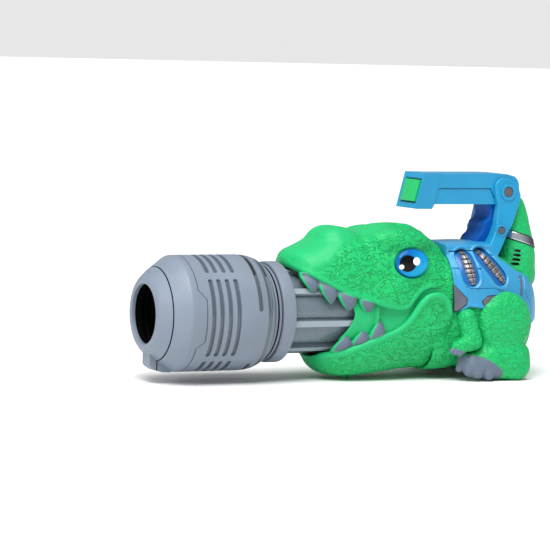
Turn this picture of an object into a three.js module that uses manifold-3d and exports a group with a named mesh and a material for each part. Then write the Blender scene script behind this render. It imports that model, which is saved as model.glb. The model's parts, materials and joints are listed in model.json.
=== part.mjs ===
// Dinosaur bubble machine. The nozzle points along -X, the left flank faces -Y and Z is up.
// Inside this file X starts at the nozzle's front lip and Z at the soles of the feet. The finished group
// is moved back by half the length, so its origin is the bottom centre. Millimetres.

import * as THREE from 'three';
import { mergeVertices } from 'three/addons/utils/BufferGeometryUtils.js';
import Module from 'manifold-3d';

const wasm = await Module();
wasm.setup();

const LENGTH = 350.8;
const GAP = 0.3;
const NOZZLE_Z = 54.4;

const COLOURS = {
  skin: new THREE.MeshStandardMaterial({ color: 0x22c766, roughness: 0.5 }),
  grey: new THREE.MeshStandardMaterial({ color: 0x8b95a5, roughness: 0.45 }),
  blue: new THREE.MeshStandardMaterial({ color: 0x3b9add, roughness: 0.4 }),
  darkBlue: new THREE.MeshStandardMaterial({ color: 0x145aaf, roughness: 0.45 }),
  silver: new THREE.MeshStandardMaterial({ color: 0xa8a2a8, roughness: 0.35, metalness: 0.4 }),
  tooth: new THREE.MeshStandardMaterial({ color: 0x8a92a8, roughness: 0.45 }),
  eye: new THREE.MeshStandardMaterial({ color: 0x2aa0e8, roughness: 0.15 }),
  button: new THREE.MeshStandardMaterial({ color: 0x2dd76e, roughness: 0.4 }),
  inner: new THREE.MeshStandardMaterial({ color: 0xd8dadd, roughness: 0.5 }),
  metal: new THREE.MeshStandardMaterial({ color: 0xb8bcc2, roughness: 0.3, metalness: 0.9 }),
  rubber: new THREE.MeshStandardMaterial({ color: 0x202226, roughness: 0.8 }),
  board: new THREE.MeshStandardMaterial({ color: 0x14613a, roughness: 0.5 }),
  cell: new THREE.MeshStandardMaterial({ color: 0x5a5f68, roughness: 0.4 }),
};

const toy = new THREE.Group();

// ---------- solids ----------

function signedVolume(positions, index) {
  let sum = 0;
  const a = new THREE.Vector3();
  const b = new THREE.Vector3();
  const c = new THREE.Vector3();
  for (let i = 0; i < index.length; i += 3) {
    a.fromArray(positions, index[i] * 3);
    b.fromArray(positions, index[i + 1] * 3);
    c.fromArray(positions, index[i + 2] * 3);
    sum += a.dot(b.cross(c));
  }
  return sum / 6;
}

function solid(geometry) {
  const bare = geometry.clone();
  for (const name of Object.keys(bare.attributes)) {
    if (name !== 'position') bare.deleteAttribute(name);
  }
  const merged = mergeVertices(bare, 1e-4);
  const position = merged.attributes.position.array;
  const triangles = [];
  for (let i = 0; i < merged.index.count; i += 3) {
    const [p, q, r] = [0, 1, 2].map((k) => merged.index.getX(i + k));
    if (p !== q && q !== r && r !== p) triangles.push(p, q, r);
  }
  if (signedVolume(position, triangles) < 0) triangles.reverse();
  return new wasm.Manifold(new wasm.Mesh({
    numProp: 3,
    vertProperties: Float32Array.from(position),
    triVerts: Uint32Array.from(triangles),
  }));
}

function geometryOf(body) {
  const mesh = body.getMesh();
  const geometry = new THREE.BufferGeometry();
  geometry.setAttribute('position', new THREE.BufferAttribute(new Float32Array(mesh.vertProperties), 3));
  geometry.setIndex(new THREE.BufferAttribute(new Uint32Array(mesh.triVerts), 1));
  geometry.computeVertexNormals();
  return geometry;
}

function add(name, body, material) {
  const mesh = new THREE.Mesh(geometryOf(body), material);
  mesh.name = name;
  toy.add(mesh);
}

const union = (bodies) => bodies.reduce((whole, body) => whole.add(body));

function mirrored(body) {
  const mesh = body.getMesh();
  const position = Float32Array.from(mesh.vertProperties, (v, i) => (i % 3 === 1 ? -v : v));
  const triangles = Uint32Array.from(mesh.triVerts).reverse();
  return new wasm.Manifold(new wasm.Mesh({ numProp: 3, vertProperties: position, triVerts: triangles }));
}

function addPair(name, leftBody, material) {
  add(`${name}_left`, leftBody, material);
  add(`${name}_right`, mirrored(leftBody), material);
}

// ---------- basic shapes ----------

function box(x0, x1, y0, y1, z0, z1) {
  const geometry = new THREE.BoxGeometry(x1 - x0, y1 - y0, z1 - z0);
  geometry.translate((x0 + x1) / 2, (y0 + y1) / 2, (z0 + z1) / 2);
  return solid(geometry);
}

// a profile of [x, radius] pairs turned about a line along X
function turned(profile, { y = 0, z = NOZZLE_Z, segments = 24 } = {}) {
  const points = profile.map(([x, r]) => new THREE.Vector2(r, x));
  if (profile[0][1] > 0) points.push(points[0].clone());
  const geometry = new THREE.LatheGeometry(points, segments);
  geometry.rotateZ(-Math.PI / 2);
  geometry.translate(0, y, z);
  return solid(geometry);
}

const rod = (x0, x1, r, at) => turned([[x0, 0], [x0, r], [x1, r], [x1, 0]], at);

function shapeOf(points) {
  return new THREE.Shape(points.map(([u, v]) => new THREE.Vector2(u, v)));
}

// an [x, z] outline carried from y0 to y1
function sidePlate(outline, y0, y1) {
  const geometry = new THREE.ExtrudeGeometry(shapeOf(outline), { depth: y1 - y0, bevelEnabled: false });
  geometry.rotateX(Math.PI / 2);
  geometry.translate(0, y1, 0);
  return solid(geometry);
}

// a [y, z] outline carried from x0 to x1
function crossPlate(outline, x0, x1) {
  const geometry = new THREE.ExtrudeGeometry(shapeOf(outline), { depth: x1 - x0, bevelEnabled: false });
  geometry.rotateY(Math.PI / 2);
  geometry.rotateX(Math.PI / 2);
  geometry.translate(x0, 0, 0);
  return solid(geometry);
}

function ellipsoid(x, y, z, rx, ry, rz, { tilt = 0, across = 10, down = 6 } = {}) {
  const geometry = new THREE.SphereGeometry(1, across, down);
  geometry.scale(rx, ry, rz);
  geometry.rotateY(tilt);
  geometry.translate(x, y, z);
  return solid(geometry);
}

// closed rings of points joined into one body, with flat ends
function loft(rings) {
  const sides = rings[0].length;
  const positions = rings.flat().flatMap((p) => [p.x, p.y, p.z]);
  const index = [];
  for (let i = 0; i + 1 < rings.length; i += 1) {
    for (let k = 0; k < sides; k += 1) {
      const a = i * sides + k;
      const b = i * sides + ((k + 1) % sides);
      index.push(a, b, a + sides, b, b + sides, a + sides);
    }
  }
  for (const [ring, flip] of [[0, true], [rings.length - 1, false]]) {
    const centre = rings[ring].reduce((sum, p) => sum.add(p), new THREE.Vector3()).divideScalar(sides);
    const hub = positions.length / 3;
    positions.push(centre.x, centre.y, centre.z);
    for (let k = 0; k < sides; k += 1) {
      const a = ring * sides + k;
      const b = ring * sides + ((k + 1) % sides);
      index.push(...(flip ? [hub, b, a] : [hub, a, b]));
    }
  }
  const geometry = new THREE.BufferGeometry();
  geometry.setAttribute('position', new THREE.Float32BufferAttribute(positions, 3));
  geometry.setIndex(index);
  return solid(geometry);
}

const power = (value, exponent) => Math.sign(value) * Math.abs(value) ** exponent;

function between(table, x) {
  const last = table.length - 1;
  if (x <= table[0][0]) return table[0].slice(1);
  if (x >= table[last][0]) return table[last].slice(1);
  const i = table.findIndex((row) => row[0] > x);
  const [low, high] = [table[i - 1], table[i]];
  const t = (x - low[0]) / (high[0] - low[0]);
  return low.slice(1).map((value, k) => value + t * (high[k + 1] - value));
}

const aboveFloor = (body) => body.subtract(box(-10, LENGTH + 10, -90, 90, -20, 0));

// ---------- nozzle drum ----------

const OPENING_R = 23.6;
const DRUM_R = 46.2;
const DRUM_WALL = 2.4;
const ROUND = 36;
const DRUM_FRONT = 10.4;
const DRUM_BACK = 96.5;
const BORE_R = 13.5;
const SLOT_X = [40.6, 47.6, 54.9, 62.3];
const SLOT_WIDTH = 3.6;
const SLOT_DEPTH = 1.3;
const SLOT_GROUPS = 4;
const SLOT_SPAN = 78;
const SLOT_TILT = 2;
// x, width and depth of the long slots near the drum's back, and the arcs in degrees that they cover
const REAR_SLOTS = [[80.8, 3.6, 1.3], [91, 2.2, 3.2]];
const REAR_SLOT_ARCS = [[6, 174], [200, 340]];
const SEAM_WIDTH = 0.9;
const SEAM_DEPTH = 0.8;
const SEAM_X = 28.6;
const SEAM_JOG_X = 34.8;

const radians = (degrees) => (degrees * Math.PI) / 180;

// a groove along a path of [x, degrees] on a round of the given radius
function groove(path, width, r0, r1) {
  const rings = path.map(([x, degrees]) => {
    const c = Math.cos(radians(degrees));
    const s = Math.sin(radians(degrees));
    return [[-1, r0], [-1, r1], [1, r1], [1, r0]].map(([side, r]) => (
      new THREE.Vector3(x + side * width / 2, -r * c, NOZZLE_Z + r * s)));
  });
  return loft(rings);
}

function arc(x, from, to, step = 16) {
  const count = Math.max(1, Math.ceil(Math.abs(to - from) / step));
  return Array.from({ length: count + 1 }, (_, k) => [x, from + ((to - from) * k) / count]);
}

function drumSlots() {
  const floor = DRUM_R - SLOT_DEPTH;
  const slots = [];
  for (let group = 0; group < SLOT_GROUPS; group += 1) {
    const centre = SLOT_TILT + (group * 360) / SLOT_GROUPS;
    const [from, to] = [centre - SLOT_SPAN / 2, centre + SLOT_SPAN / 2];
    for (const x of SLOT_X) slots.push(groove(arc(x, from, to), SLOT_WIDTH, floor, DRUM_R + 1));
  }
  return union(slots);
}

// two long slots over the top and two under the bottom, near the drum's back
function rearSlots() {
  const cuts = REAR_SLOT_ARCS.flatMap(([from, to]) => REAR_SLOTS.map(([x, width, depth]) => (
    groove(arc(x, from, to), width, DRUM_R - depth, DRUM_R + 1))));
  return union(cuts);
}

// the parting line round the drum, which steps back once on each flank
function seamGroove() {
  const step = arc(SEAM_JOG_X, -18, 12);
  const jog = [[SEAM_X, -31], [SEAM_JOG_X, -24], ...step, [SEAM_JOG_X, 19], [SEAM_X, 28]];
  const halves = [0, 180].map((turn) => {
    const path = [...jog, ...arc(SEAM_X, 34, 149.5)].map(([x, degrees]) => [x, degrees + turn]);
    return groove(path, SEAM_WIDTH, DRUM_R - SEAM_DEPTH, DRUM_R + 1);
  });
  return union(halves);
}

// the latch under the nozzle's front edge: its front half is on the cap, its rear half on the drum
const LUG_HALF = 7;
const LUG_TOP = 23;
const DRUM_LUG_TOP = 18;
const CAP_LUG = [[4, LUG_TOP], [4, 13.8], [5.2, 12.2], [9.6, 10], [9.6, LUG_TOP]];
const DRUM_LUG = [
  [DRUM_FRONT, DRUM_LUG_TOP], [DRUM_FRONT, 9.8], [16, 8.6], [22, 8.4], [22, DRUM_LUG_TOP],
];
const CONE_BACK = 22.4;

const lugBlock = (outline) => sidePlate(outline, -LUG_HALF, LUG_HALF);

function makeNozzle() {
  const cap = turned([
    [0, 25], [0.8, 28.6], [2.6, 31.2], [9.6, 37.2], [9.6, 35.2], [15.5, 35.2],
    [15.5, 32.6], [3.4, 27], [9, 25.4], [9, OPENING_R],
  ], { segments: ROUND });
  const capHollow = rod(-5, 20, 31);
  add('front_cap', cap.add(lugBlock(CAP_LUG).subtract(capHollow)), COLOURS.grey);
  add('cap_seal', turned([
    [16.1, 32.9], [16.1, 35.2], [18, 38.4], [22, 41.4], [22, 39.4], [19, 36.2],
  ]), COLOURS.rubber);

  const inside = [
    [DRUM_BACK, BORE_R], [94.1, BORE_R], [94.1, 38.4], [81, DRUM_R - DRUM_WALL],
    [CONE_BACK + 0.8, DRUM_R - DRUM_WALL], [13.2, 36.9], [13.2, 35.6],
  ];
  const shell = turned([
    [DRUM_FRONT, 35.6], [DRUM_FRONT, 37.8], [CONE_BACK - 1, 45.6], [CONE_BACK + 0.6, DRUM_R],
    [82, DRUM_R], [90, 44.8], [DRUM_BACK, 40.8], ...inside,
  ], { segments: ROUND });
  const lugSeat = turned([[5, 0], [5, 37], [13.2, 37], [CONE_BACK, 43.9], [CONE_BACK, 0]]);
  const lug = lugBlock(DRUM_LUG).subtract(lugSeat);
  const drum = shell.add(lug).subtract(drumSlots()).subtract(rearSlots()).subtract(seamGroove());
  add('drum_shell', drum, COLOURS.grey);

  add('spacer_rings', turned([
    [96.9, 28], [96.9, 38.8], [99.8, 38.8], [100.3, 37.4], [100.8, 38.6], [103.4, 38.6], [103.4, 28],
  ], { segments: ROUND }), COLOURS.grey);
  add('flange_ring', turned([
    [103.8, 35.6], [103.8, 40.1], [104.4, 40.5], [114.4, 40.5], [115.2, 39.8], [115.2, 35.6],
  ], { segments: ROUND }), COLOURS.grey);
}

const BARREL_RIBS = 8;
const BARREL_R = 35;
const FLUTE_DEPTH = 5;
const RIB_HALF_ANGLE = 4;
const BARREL_PHASE = 33;
const BARREL_FRONT = 103.9;
const BARREL_BACK = 186;

// eight narrow ribs with a hollow flute between each pair
function makeBarrel() {
  const outline = [];
  const pitch = 360 / BARREL_RIBS;
  const fluteAngle = pitch - 2 * RIB_HALF_ANGLE;
  for (let rib = 0; rib < BARREL_RIBS; rib += 1) {
    const start = BARREL_PHASE + rib * pitch - RIB_HALF_ANGLE;
    outline.push([BARREL_R, start]);
    for (let k = 0; k <= 6; k += 1) {
      const hollow = FLUTE_DEPTH * Math.sin((Math.PI * k) / 6) ** 0.7;
      outline.push([BARREL_R - hollow, start + 2 * RIB_HALF_ANGLE + (fluteAngle * k) / 6]);
    }
  }
  outline.pop();
  const points = outline.map(([r, degrees]) => (
    [-r * Math.cos(radians(degrees)), NOZZLE_Z + r * Math.sin(radians(degrees))]));
  const bore = rod(BARREL_FRONT - 1, BARREL_BACK + 1, BORE_R);
  add('barrel_tubes', crossPlate(points, BARREL_FRONT, BARREL_BACK).subtract(bore), COLOURS.grey);
}

// ---------- bubble wheel and its drive ----------

const SHAFT_R = 2.5;
const SHAFT_BORE = SHAFT_R + GAP;
const WAND_RINGS = 6;
const WAND_RING_R = 25.4;
const WAND_X = [25, 31];
const CUP_BACK = 60;
const GEAR_MODULE = 1;
const ROTOR_TEETH = 36;
const SMALL_TEETH = 10;
const LARGE_TEETH = 28;
const MOTOR_TEETH = 10;
const PLAY = 0.15;
const REDUCTION = { y: 0, z: NOZZLE_Z - (ROTOR_TEETH + SMALL_TEETH) * GEAR_MODULE / 2 - PLAY };
const MOTOR_TURN = 25;
const MOTOR_REACH = (LARGE_TEETH + MOTOR_TEETH) * GEAR_MODULE / 2 + PLAY;
const MOTOR = {
  y: MOTOR_REACH * Math.cos(radians(MOTOR_TURN)),
  z: REDUCTION.z + MOTOR_REACH * Math.sin(radians(MOTOR_TURN)),
};

// a spur gear about X; one tooth points along the given angle in the YZ plane
function gear(teeth, x0, x1, boreR, at, toothAngle) {
  const pitchR = (teeth * GEAR_MODULE) / 2;
  const tipR = pitchR + 0.75 * GEAR_MODULE;
  const rootR = pitchR - 1.0 * GEAR_MODULE;
  const pitch = (2 * Math.PI) / teeth;
  const outline = [];
  for (let k = 0; k < teeth; k += 1) {
    const middle = radians(toothAngle) + k * pitch;
    const halves = [[rootR, 0.36], [tipR, 0.1]];
    const rising = halves.map(([r, share]) => [r, middle - share * pitch]);
    const falling = halves.map(([r, share]) => [r, middle + share * pitch]).reverse();
    for (const [r, angle] of [...rising, ...falling]) {
      outline.push([at.y + r * Math.cos(angle), at.z + r * Math.sin(angle)]);
    }
  }
  return crossPlate(outline, x0, x1).subtract(rod(x0 - 1, x1 + 1, boreR, { ...at, segments: 24 }));
}

function makeWheel() {
  const [x0, x1] = WAND_X;
  const pieces = [
    turned([[x0, 33.8], [x0, 36.4], [x1, 36.4], [x1, 33.8]], { segments: 24 }),
    rod(x0 - 1, x1 + 1, 6.4, { segments: 16 }),
  ];
  const holes = [rod(x0 - 3, x1 + 3, SHAFT_BORE, { segments: 24 })];
  for (let k = 0; k < WAND_RINGS; k += 1) {
    const angle = (k * 2 * Math.PI) / WAND_RINGS + Math.PI / 2;
    const [y, z] = [WAND_RING_R * Math.cos(angle), NOZZLE_Z + WAND_RING_R * Math.sin(angle)];
    const at = { y, z, segments: 12 };
    pieces.push(rod(x0, x1, 9.2, at));
    holes.push(rod(x0 - 3, x1 + 3, 7.2, at));
    const spoke = new THREE.BoxGeometry(x1 - x0 - 1, 12, 3);
    spoke.translate((x0 + x1) / 2, 11, 0);
    spoke.rotateX(angle);
    spoke.translate(0, 0, NOZZLE_Z);
    pieces.push(solid(spoke));
  }
  add('wand_rotor', union(pieces).subtract(union(holes)), COLOURS.rubber);
  add('rotor_shaft', rod(22.5, 82.5, SHAFT_R, { segments: 24 }), COLOURS.metal);
}

function makeReservoir() {
  const wall = [[24, 43.3], [CUP_BACK, 43.3], [CUP_BACK, 9], [57.8, 9], [57.8, 41.2], [24, 41.2]];
  const cup = turned(wall, { segments: 32 });
  const port = rod(50, 70, 7.6, { z: NOZZLE_Z + WAND_RING_R, segments: 16 });
  add('reservoir_cup', cup.subtract(port), COLOURS.inner);
  add('shaft_seal', turned([
    [56.8, SHAFT_BORE], [56.8, 8.6], [60.4, 8.6], [60.4, 11], [62, 11], [62, SHAFT_BORE],
  ]), COLOURS.rubber);
}

function makeGearbox() {
  const centre = { y: 0, z: NOZZLE_Z };
  add('rotor_gear', gear(ROTOR_TEETH, 66, 71, SHAFT_BORE, centre, -90 + 180 / ROTOR_TEETH), COLOURS.inner);
  const small = gear(SMALL_TEETH, 65, 74.2, 1.8, REDUCTION, 90);
  const large = gear(LARGE_TEETH, 74.2, 78.2, 1.8, REDUCTION, MOTOR_TURN);
  add('reduction_gear', small.add(large), COLOURS.inner);
  const pinionTooth = MOTOR_TURN + 180 + 180 / MOTOR_TEETH;
  add('motor_pinion', gear(MOTOR_TEETH, 73.6, 78.6, 1.3, MOTOR, pinionTooth), COLOURS.metal);
  const at = { ...MOTOR, segments: 32 };
  const motor = turned([[75, 0], [75, 1], [81.3, 1], [81.3, 12.2], [93.3, 12.2], [93.3, 0]], at);
  add('wand_motor', motor, COLOURS.metal);
  const plate = turned([[79.2, SHAFT_BORE], [79.2, 41.5], [80.8, 41.5], [80.8, SHAFT_BORE]]);
  const stud = rod(63, 79.6, 1.5, { ...REDUCTION, segments: 20 });
  const pinionHole = rod(70, 90, 6.6, { ...MOTOR, segments: 24 });
  const airWindow = rod(70, 90, 9, { z: NOZZLE_Z + WAND_RING_R, segments: 24 });
  add('gearbox_plate', plate.subtract(pinionHole).subtract(airWindow).add(stud), COLOURS.inner);
}

// ---------- fan ----------

const FAN_BLADES = 9;

function makeFan() {
  const housing = turned([
    [186.4, BORE_R], [186.4, 17], [189, 17], [189, 31], [213, 31], [213, 13], [211.2, 13], [211.2, 29.2],
    [190.8, 29.2], [190.8, BORE_R],
  ]);
  add('fan_housing', housing, COLOURS.inner);
  const blades = Array.from({ length: FAN_BLADES }, (_, k) => {
    const blade = new THREE.BoxGeometry(12, 1.6, 21);
    blade.translate(0, 0, 16.5);
    blade.rotateX((k * 2 * Math.PI) / FAN_BLADES);
    blade.translate(199, 0, NOZZLE_Z);
    return solid(blade);
  });
  const hub = rod(193, 207, 7, { segments: 16 });
  const stub = rod(206, 214.4, 1.2, { segments: 16 });
  add('fan_wheel', union([hub, ...blades, stub]), COLOURS.inner);
  const motor = turned([[213.5, 1.6], [213.5, 12], [238, 12], [238, 0], [215, 0], [215, 1.6]]);
  add('fan_motor', motor, COLOURS.metal);
}

// ---------- head and jaw ----------

// x, top, lip, half width of the upper head
const HEAD = [
  [119.6, 98.8, 95.6, 4],
  [121, 101, 93.4, 10],
  [123.4, 103.4, 91, 18],
  [127, 105.8, 88, 25.4],
  [134, 108.2, 83.6, 32.4],
  [144, 113.4, 78.6, 36],
  [152, 118.2, 74.2, 38],
  [162, 122, 69.8, 39.2],
  [172, 121.2, 66.8, 40],
  [182, 119.2, 64.2, 40.8],
  [192, 121.8, 60, 42],
  [205, 124.6, 56, 43],
  [216, 125.2, 40, 44],
  [230, 124.4, 24, 45.4],
  [240, 120.2, 20, 46],
  [248, 114.4, 20, 45.6],
  [258, 107.6, 20, 44.2],
];
// x, bottom, lip, half width of the lower jaw
const JAW = [
  [143.6, 18.2, 21, 4],
  [146, 13, 21.8, 14],
  [150, 8.6, 22.8, 22],
  [158, 3.4, 25, 29.6],
  [166, 0, 27.4, 34.2],
  [175, -0.8, 31, 36.8],
  [190, -0.4, 37.4, 39],
  [206, 3, 44, 41.4],
  [216, 5.8, 60, 43.6],
  [226, 7.6, 76, 46],
  [240, 8.5, 80, 47.2],
  [250.4, 9, 80, 46.6],
];
const HEAD_WALL = 3;
const HEAD_BACK = 258;
const HEAD_SQUARENESS = 2.35;
const JAW_SQUARENESS = 2.5;

// the line between the jaw and the head, from the chin round the hinge boss
const JAW_EDGE = [
  [136, 19.4], [146, 22.2], [159, 25], [174.3, 30.9], [194.5, 38.7], [206, 43.5], [213.4, 50],
  [218.6, 58.4], [223, 65.4], [229, 71.2], [236.5, 73.4], [243.6, 71.4], [248.6, 65.6], [250.2, 52],
  [249.2, 37.5], [246.6, 27.7], [242.7, 22],
];
const HEAD_EDGE = [
  [114, 97.2], [117.4, 93.4], [121, 89.8], [126, 87], [136.3, 82.6], [151, 74.7], [162.2, 69.8],
  [173.5, 66.4], [184.4, 63.3], [192.5, 60], [205.7, 57.4], [213.4, 58.4], [217.8, 62.6], [222, 67.6],
  [228.6, 72.6], [236.5, 74.9], [244.5, 72.8], [250, 66.4], [251.7, 52], [250.7, 37.2], [248.2, 27.2],
  [246, 22.4],
];

function archRing(x, top, edge, halfWidth, squareness, downTo = edge) {
  const steps = 12;
  const ring = [];
  for (let k = 0; k <= steps; k += 1) {
    const t = (Math.PI * k) / steps;
    const y = -halfWidth * power(Math.cos(t), 2 / squareness);
    ring.push(new THREE.Vector3(x, y, edge + (top - edge) * power(Math.sin(t), 2 / squareness)));
  }
  if (downTo !== edge) {
    ring.push(new THREE.Vector3(x, halfWidth, downTo), new THREE.Vector3(x, -halfWidth, downTo));
  }
  return ring;
}

const headOuter = (grow = 0) => loft(HEAD.map(([x, top, lip, half]) => (
  archRing(x, top + grow, lip, half + grow, HEAD_SQUARENESS))));

function headInner(shrink) {
  const stations = HEAD.filter((_, i) => i > 1 && i % 2 === 0);
  const rings = stations.map(([x, top, lip, half]) => (
    archRing(x, top - shrink, lip, half - shrink, HEAD_SQUARENESS, lip - 20)));
  const [, top, lip, half] = HEAD[HEAD.length - 1];
  rings.push(archRing(HEAD_BACK + 5, top - shrink, lip, half - shrink, HEAD_SQUARENESS, lip - 20));
  return loft(rings);
}

const jawOuter = () => loft(JAW.map(([x, bottom, lip, half]) => (
  archRing(x, bottom, lip, half, JAW_SQUARENESS))));

function jawInner(shrink) {
  const stations = JAW.filter((_, i) => i > 1 && i % 2 === 0);
  const rings = stations.map(([x, bottom, lip, half]) => (
    archRing(x, bottom + shrink, lip, half - shrink, JAW_SQUARENESS, lip + 20)));
  const [, bottom, lip, half] = JAW[JAW.length - 1];
  rings.push(archRing(270, bottom + shrink, lip, half - shrink, JAW_SQUARENESS, lip + 20));
  return loft(rings);
}

const barrelClear = () => rod(90, 190, BARREL_R + GAP + 0.3, { segments: 32 });

const EYE = { x: 217, y: -39.4, z: 95.5 };
const EYE_REACH = { x: 15, y: 5.2, z: 11.6 };

function eyeBody(grow) {
  const { x, y, z } = EYE_REACH;
  return ellipsoid(EYE.x, EYE.y, EYE.z, x + grow, y + grow, z + grow, { across: 12, down: 8 });
}

const brow = () => ellipsoid(213, -27, 112.6, 24, 10.4, 9, { tilt: 0.1 });

function makeHead() {
  const hollow = headInner(HEAD_WALL);
  const region = sidePlate([...HEAD_EDGE, [HEAD_BACK, 22.4], [HEAD_BACK, 140], [114, 140]], -60, 60);
  const brows = brow().add(mirrored(brow())).subtract(hollow);
  const eyes = eyeBody(GAP).add(mirrored(eyeBody(GAP)));
  const shell = headOuter().subtract(hollow).add(brows).intersect(region);
  add('head_shell', shell.subtract(barrelClear()).subtract(eyes), COLOURS.skin);
  addPair('eye', eyeBody(0), COLOURS.eye);

  const jawRegion = sidePlate([...JAW_EDGE, [242.7, 0], [136, 0]], -60, 60);
  const jaw = jawOuter().subtract(jawInner(HEAD_WALL)).intersect(jawRegion);
  add('lower_jaw', aboveFloor(jaw.subtract(barrelClear())), COLOURS.skin);
}

// z, x at the front, and half width at the front and the back, of the cheek in the mouth's corner
const CHEEK = [[37, 196, 35.4, 37], [46, 195, 36, 38.6], [51, 187, 35.6, 39.4], [65, 187, 35.6, 39.8]];
const CHEEK_BACK = 215.6;
const CHEEK_THICK = 1.6;

function cheek() {
  const rings = CHEEK.map(([z, x, front, back]) => [
    new THREE.Vector3(x, -front, z),
    new THREE.Vector3(CHEEK_BACK, -back, z),
    new THREE.Vector3(CHEEK_BACK, -back + CHEEK_THICK, z),
    new THREE.Vector3(x, -front + CHEEK_THICK, z),
  ]);
  return loft(rings);
}

// the throat wall that closes the mouth behind the barrel, with a cheek on each side
function makeThroat() {
  const outline = Array.from({ length: 24 }, (_, k) => {
    const t = (2 * Math.PI * k) / 24;
    return [36.6 * power(Math.cos(t), 0.8), 60 + 54 * power(Math.sin(t), 0.8)];
  });
  const notch = box(180, 192, -45, -29.6, 28, 46);
  const wall = crossPlate(outline, 186.4, 188.6).subtract(notch).subtract(mirrored(notch));
  const throat = wall.add(cheek()).add(mirrored(cheek()));
  add('throat_wall', throat.subtract(rod(180, 192, 17 + GAP)), COLOURS.skin);
}

// ---------- teeth ----------

// x, length along the lip, drop of the point
const UPPER_TEETH = [[131.6, 11, 12.4], [145, 13.6, 15], [160.4, 14.6, 13.4], [177.4, 11.4, 10.4]];
const LOWER_TEETH = [[158, 13.6, 11.6], [173.6, 12.4, 8.6], [187.4, 11.8, 9.2]];
const UPPER_INSET = 4.1;
const LOWER_INSET = 4.5;

// a blunt cone whose base lies along the lip
function tooth(x, y, z, length, height, direction) {
  const levels = [[-3, 1], [0, 1], [0.55, 0.62], [1, 0.14]];
  const rings = levels.map(([level, size]) => {
    const up = level < 0 ? level : level * height;
    return Array.from({ length: 6 }, (_, k) => {
      const t = (2 * Math.PI * k) / 6;
      const lean = (length * 0.1 * Math.max(level, 0));
      return new THREE.Vector3(
        x + lean + size * (length / 2) * Math.cos(t),
        y + size * 2.9 * Math.sin(t),
        z + direction * up,
      );
    });
  });
  return loft(rings);
}

function teethStrip(teeth, table, direction, inset) {
  const edge = (x) => between(table, x);
  const from = teeth[0][0] - 4;
  const to = teeth[teeth.length - 1][0] + 4;
  const rings = [];
  for (let k = 0; k <= 6; k += 1) {
    const x = from + ((to - from) * k) / 6;
    const [, lip, half] = edge(x);
    const y = -(half - HEAD_WALL - GAP);
    const z = lip - direction * 1.2;
    rings.push([[0, 0], [3, 0], [3, -4.4], [0, -4.4]].map(([dy, dz]) => (
      new THREE.Vector3(x, y + dy, z + direction * dz))));
  }
  const cones = teeth.map(([x, length, height]) => {
    const [, lip, half] = edge(x);
    return tooth(x, -(half - inset), lip, length, height, direction);
  });
  return union([loft(rings), ...cones]);
}

function makeTeeth() {
  const wall = HEAD_WALL + GAP - 0.02;
  const headWall = headOuter(GAP).subtract(headInner(wall));
  const upper = teethStrip(UPPER_TEETH, HEAD, -1, UPPER_INSET).subtract(headWall);
  addPair('upper_teeth', upper.subtract(barrelClear()), COLOURS.tooth);
  const jawWall = jawOuter().subtract(jawInner(wall));
  const bothWalls = jawWall.add(mirrored(jawWall));
  const lower = teethStrip(LOWER_TEETH, JAW, 1, LOWER_INSET).subtract(bothWalls);
  addPair('lower_teeth', lower.subtract(barrelClear()), COLOURS.tooth);
}

// ---------- body and harness ----------

// x, bottom, top, half width
const BODY = [
  [258.5, 8.8, 105.4, 42],
  [266, 8.6, 107.4, 43.6],
  [278, 8.6, 108.4, 44.6],
  [292, 8.6, 107.8, 44.6],
  [306, 9.2, 103, 43],
  [320, 12, 96, 39.4],
  [332, 18, 88, 32.6],
  [339, 25, 80, 25],
  [343.4, 35, 72, 15.6],
];
const BODY_WALL = 2.4;
const HARNESS = 2.2;
const HARNESS_SKIN = GAP + HARNESS;
const BODY_SQUARENESS = 2.5;
const HALF_GAP = 0.15;

function bodyLoft(grow, { front = 0, back = 0 } = {}) {
  const sides = 20;
  const rings = BODY.map(([x, bottom, top, half], i) => {
    const shift = i === 0 ? -front : 0;
    const tail = i === BODY.length - 1 ? back : 0;
    return Array.from({ length: sides }, (_, k) => {
      const t = (2 * Math.PI * (k + 0.5)) / sides;
      const middle = (top + bottom) / 2;
      const high = (top - bottom) / 2 + grow;
      return new THREE.Vector3(
        x + shift + tail,
        (half + grow) * power(Math.cos(t), 2 / BODY_SQUARENESS),
        middle + high * power(Math.sin(t), 2 / BODY_SQUARENESS),
      );
    });
  });
  return loft(rings);
}

const HARNESS_OUTLINE = [
  [258.5, 116], [258.5, 50], [262, 55], [268, 60], [284, 58], [300, 40], [337, 36], [345, 44], [350, 60],
  [350, 73], [344, 76], [334, 81], [320, 85.5], [304, 98], [296, 116],
];
const RIB_FRONT = { x: 267.9, z: 91.2, long: 13.4, wide: 5.6, lean: 13 };
const RIB_REAR = { x: 290, z: 93, long: 16, wide: 6, lean: 32 };

// an upright oval prism that reaches out through the left flank
function ovalPrism({ x, z, long, wide, lean }, grow) {
  const outline = Array.from({ length: 14 }, (_, k) => {
    const t = (2 * Math.PI * k) / 14;
    const u = (wide + grow) * power(Math.cos(t), 0.85);
    const v = (long + grow) * power(Math.sin(t), 0.85);
    const c = Math.cos(radians(lean));
    const s = Math.sin(radians(lean));
    return [x + u * c - v * s, z + u * s + v * c];
  });
  return sidePlate(outline, -60, -10);
}

const leftHalf = () => box(200, 400, -80, -HALF_GAP, -10, 200);

const BATTERY = { x0: 260.6, x1: 316, y: 24.6, z0: 21, z1: 38.4 };
const COVER = { x0: 266, x1: 314, y: 17, z0: 8.8, z1: 10.8 };

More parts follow.
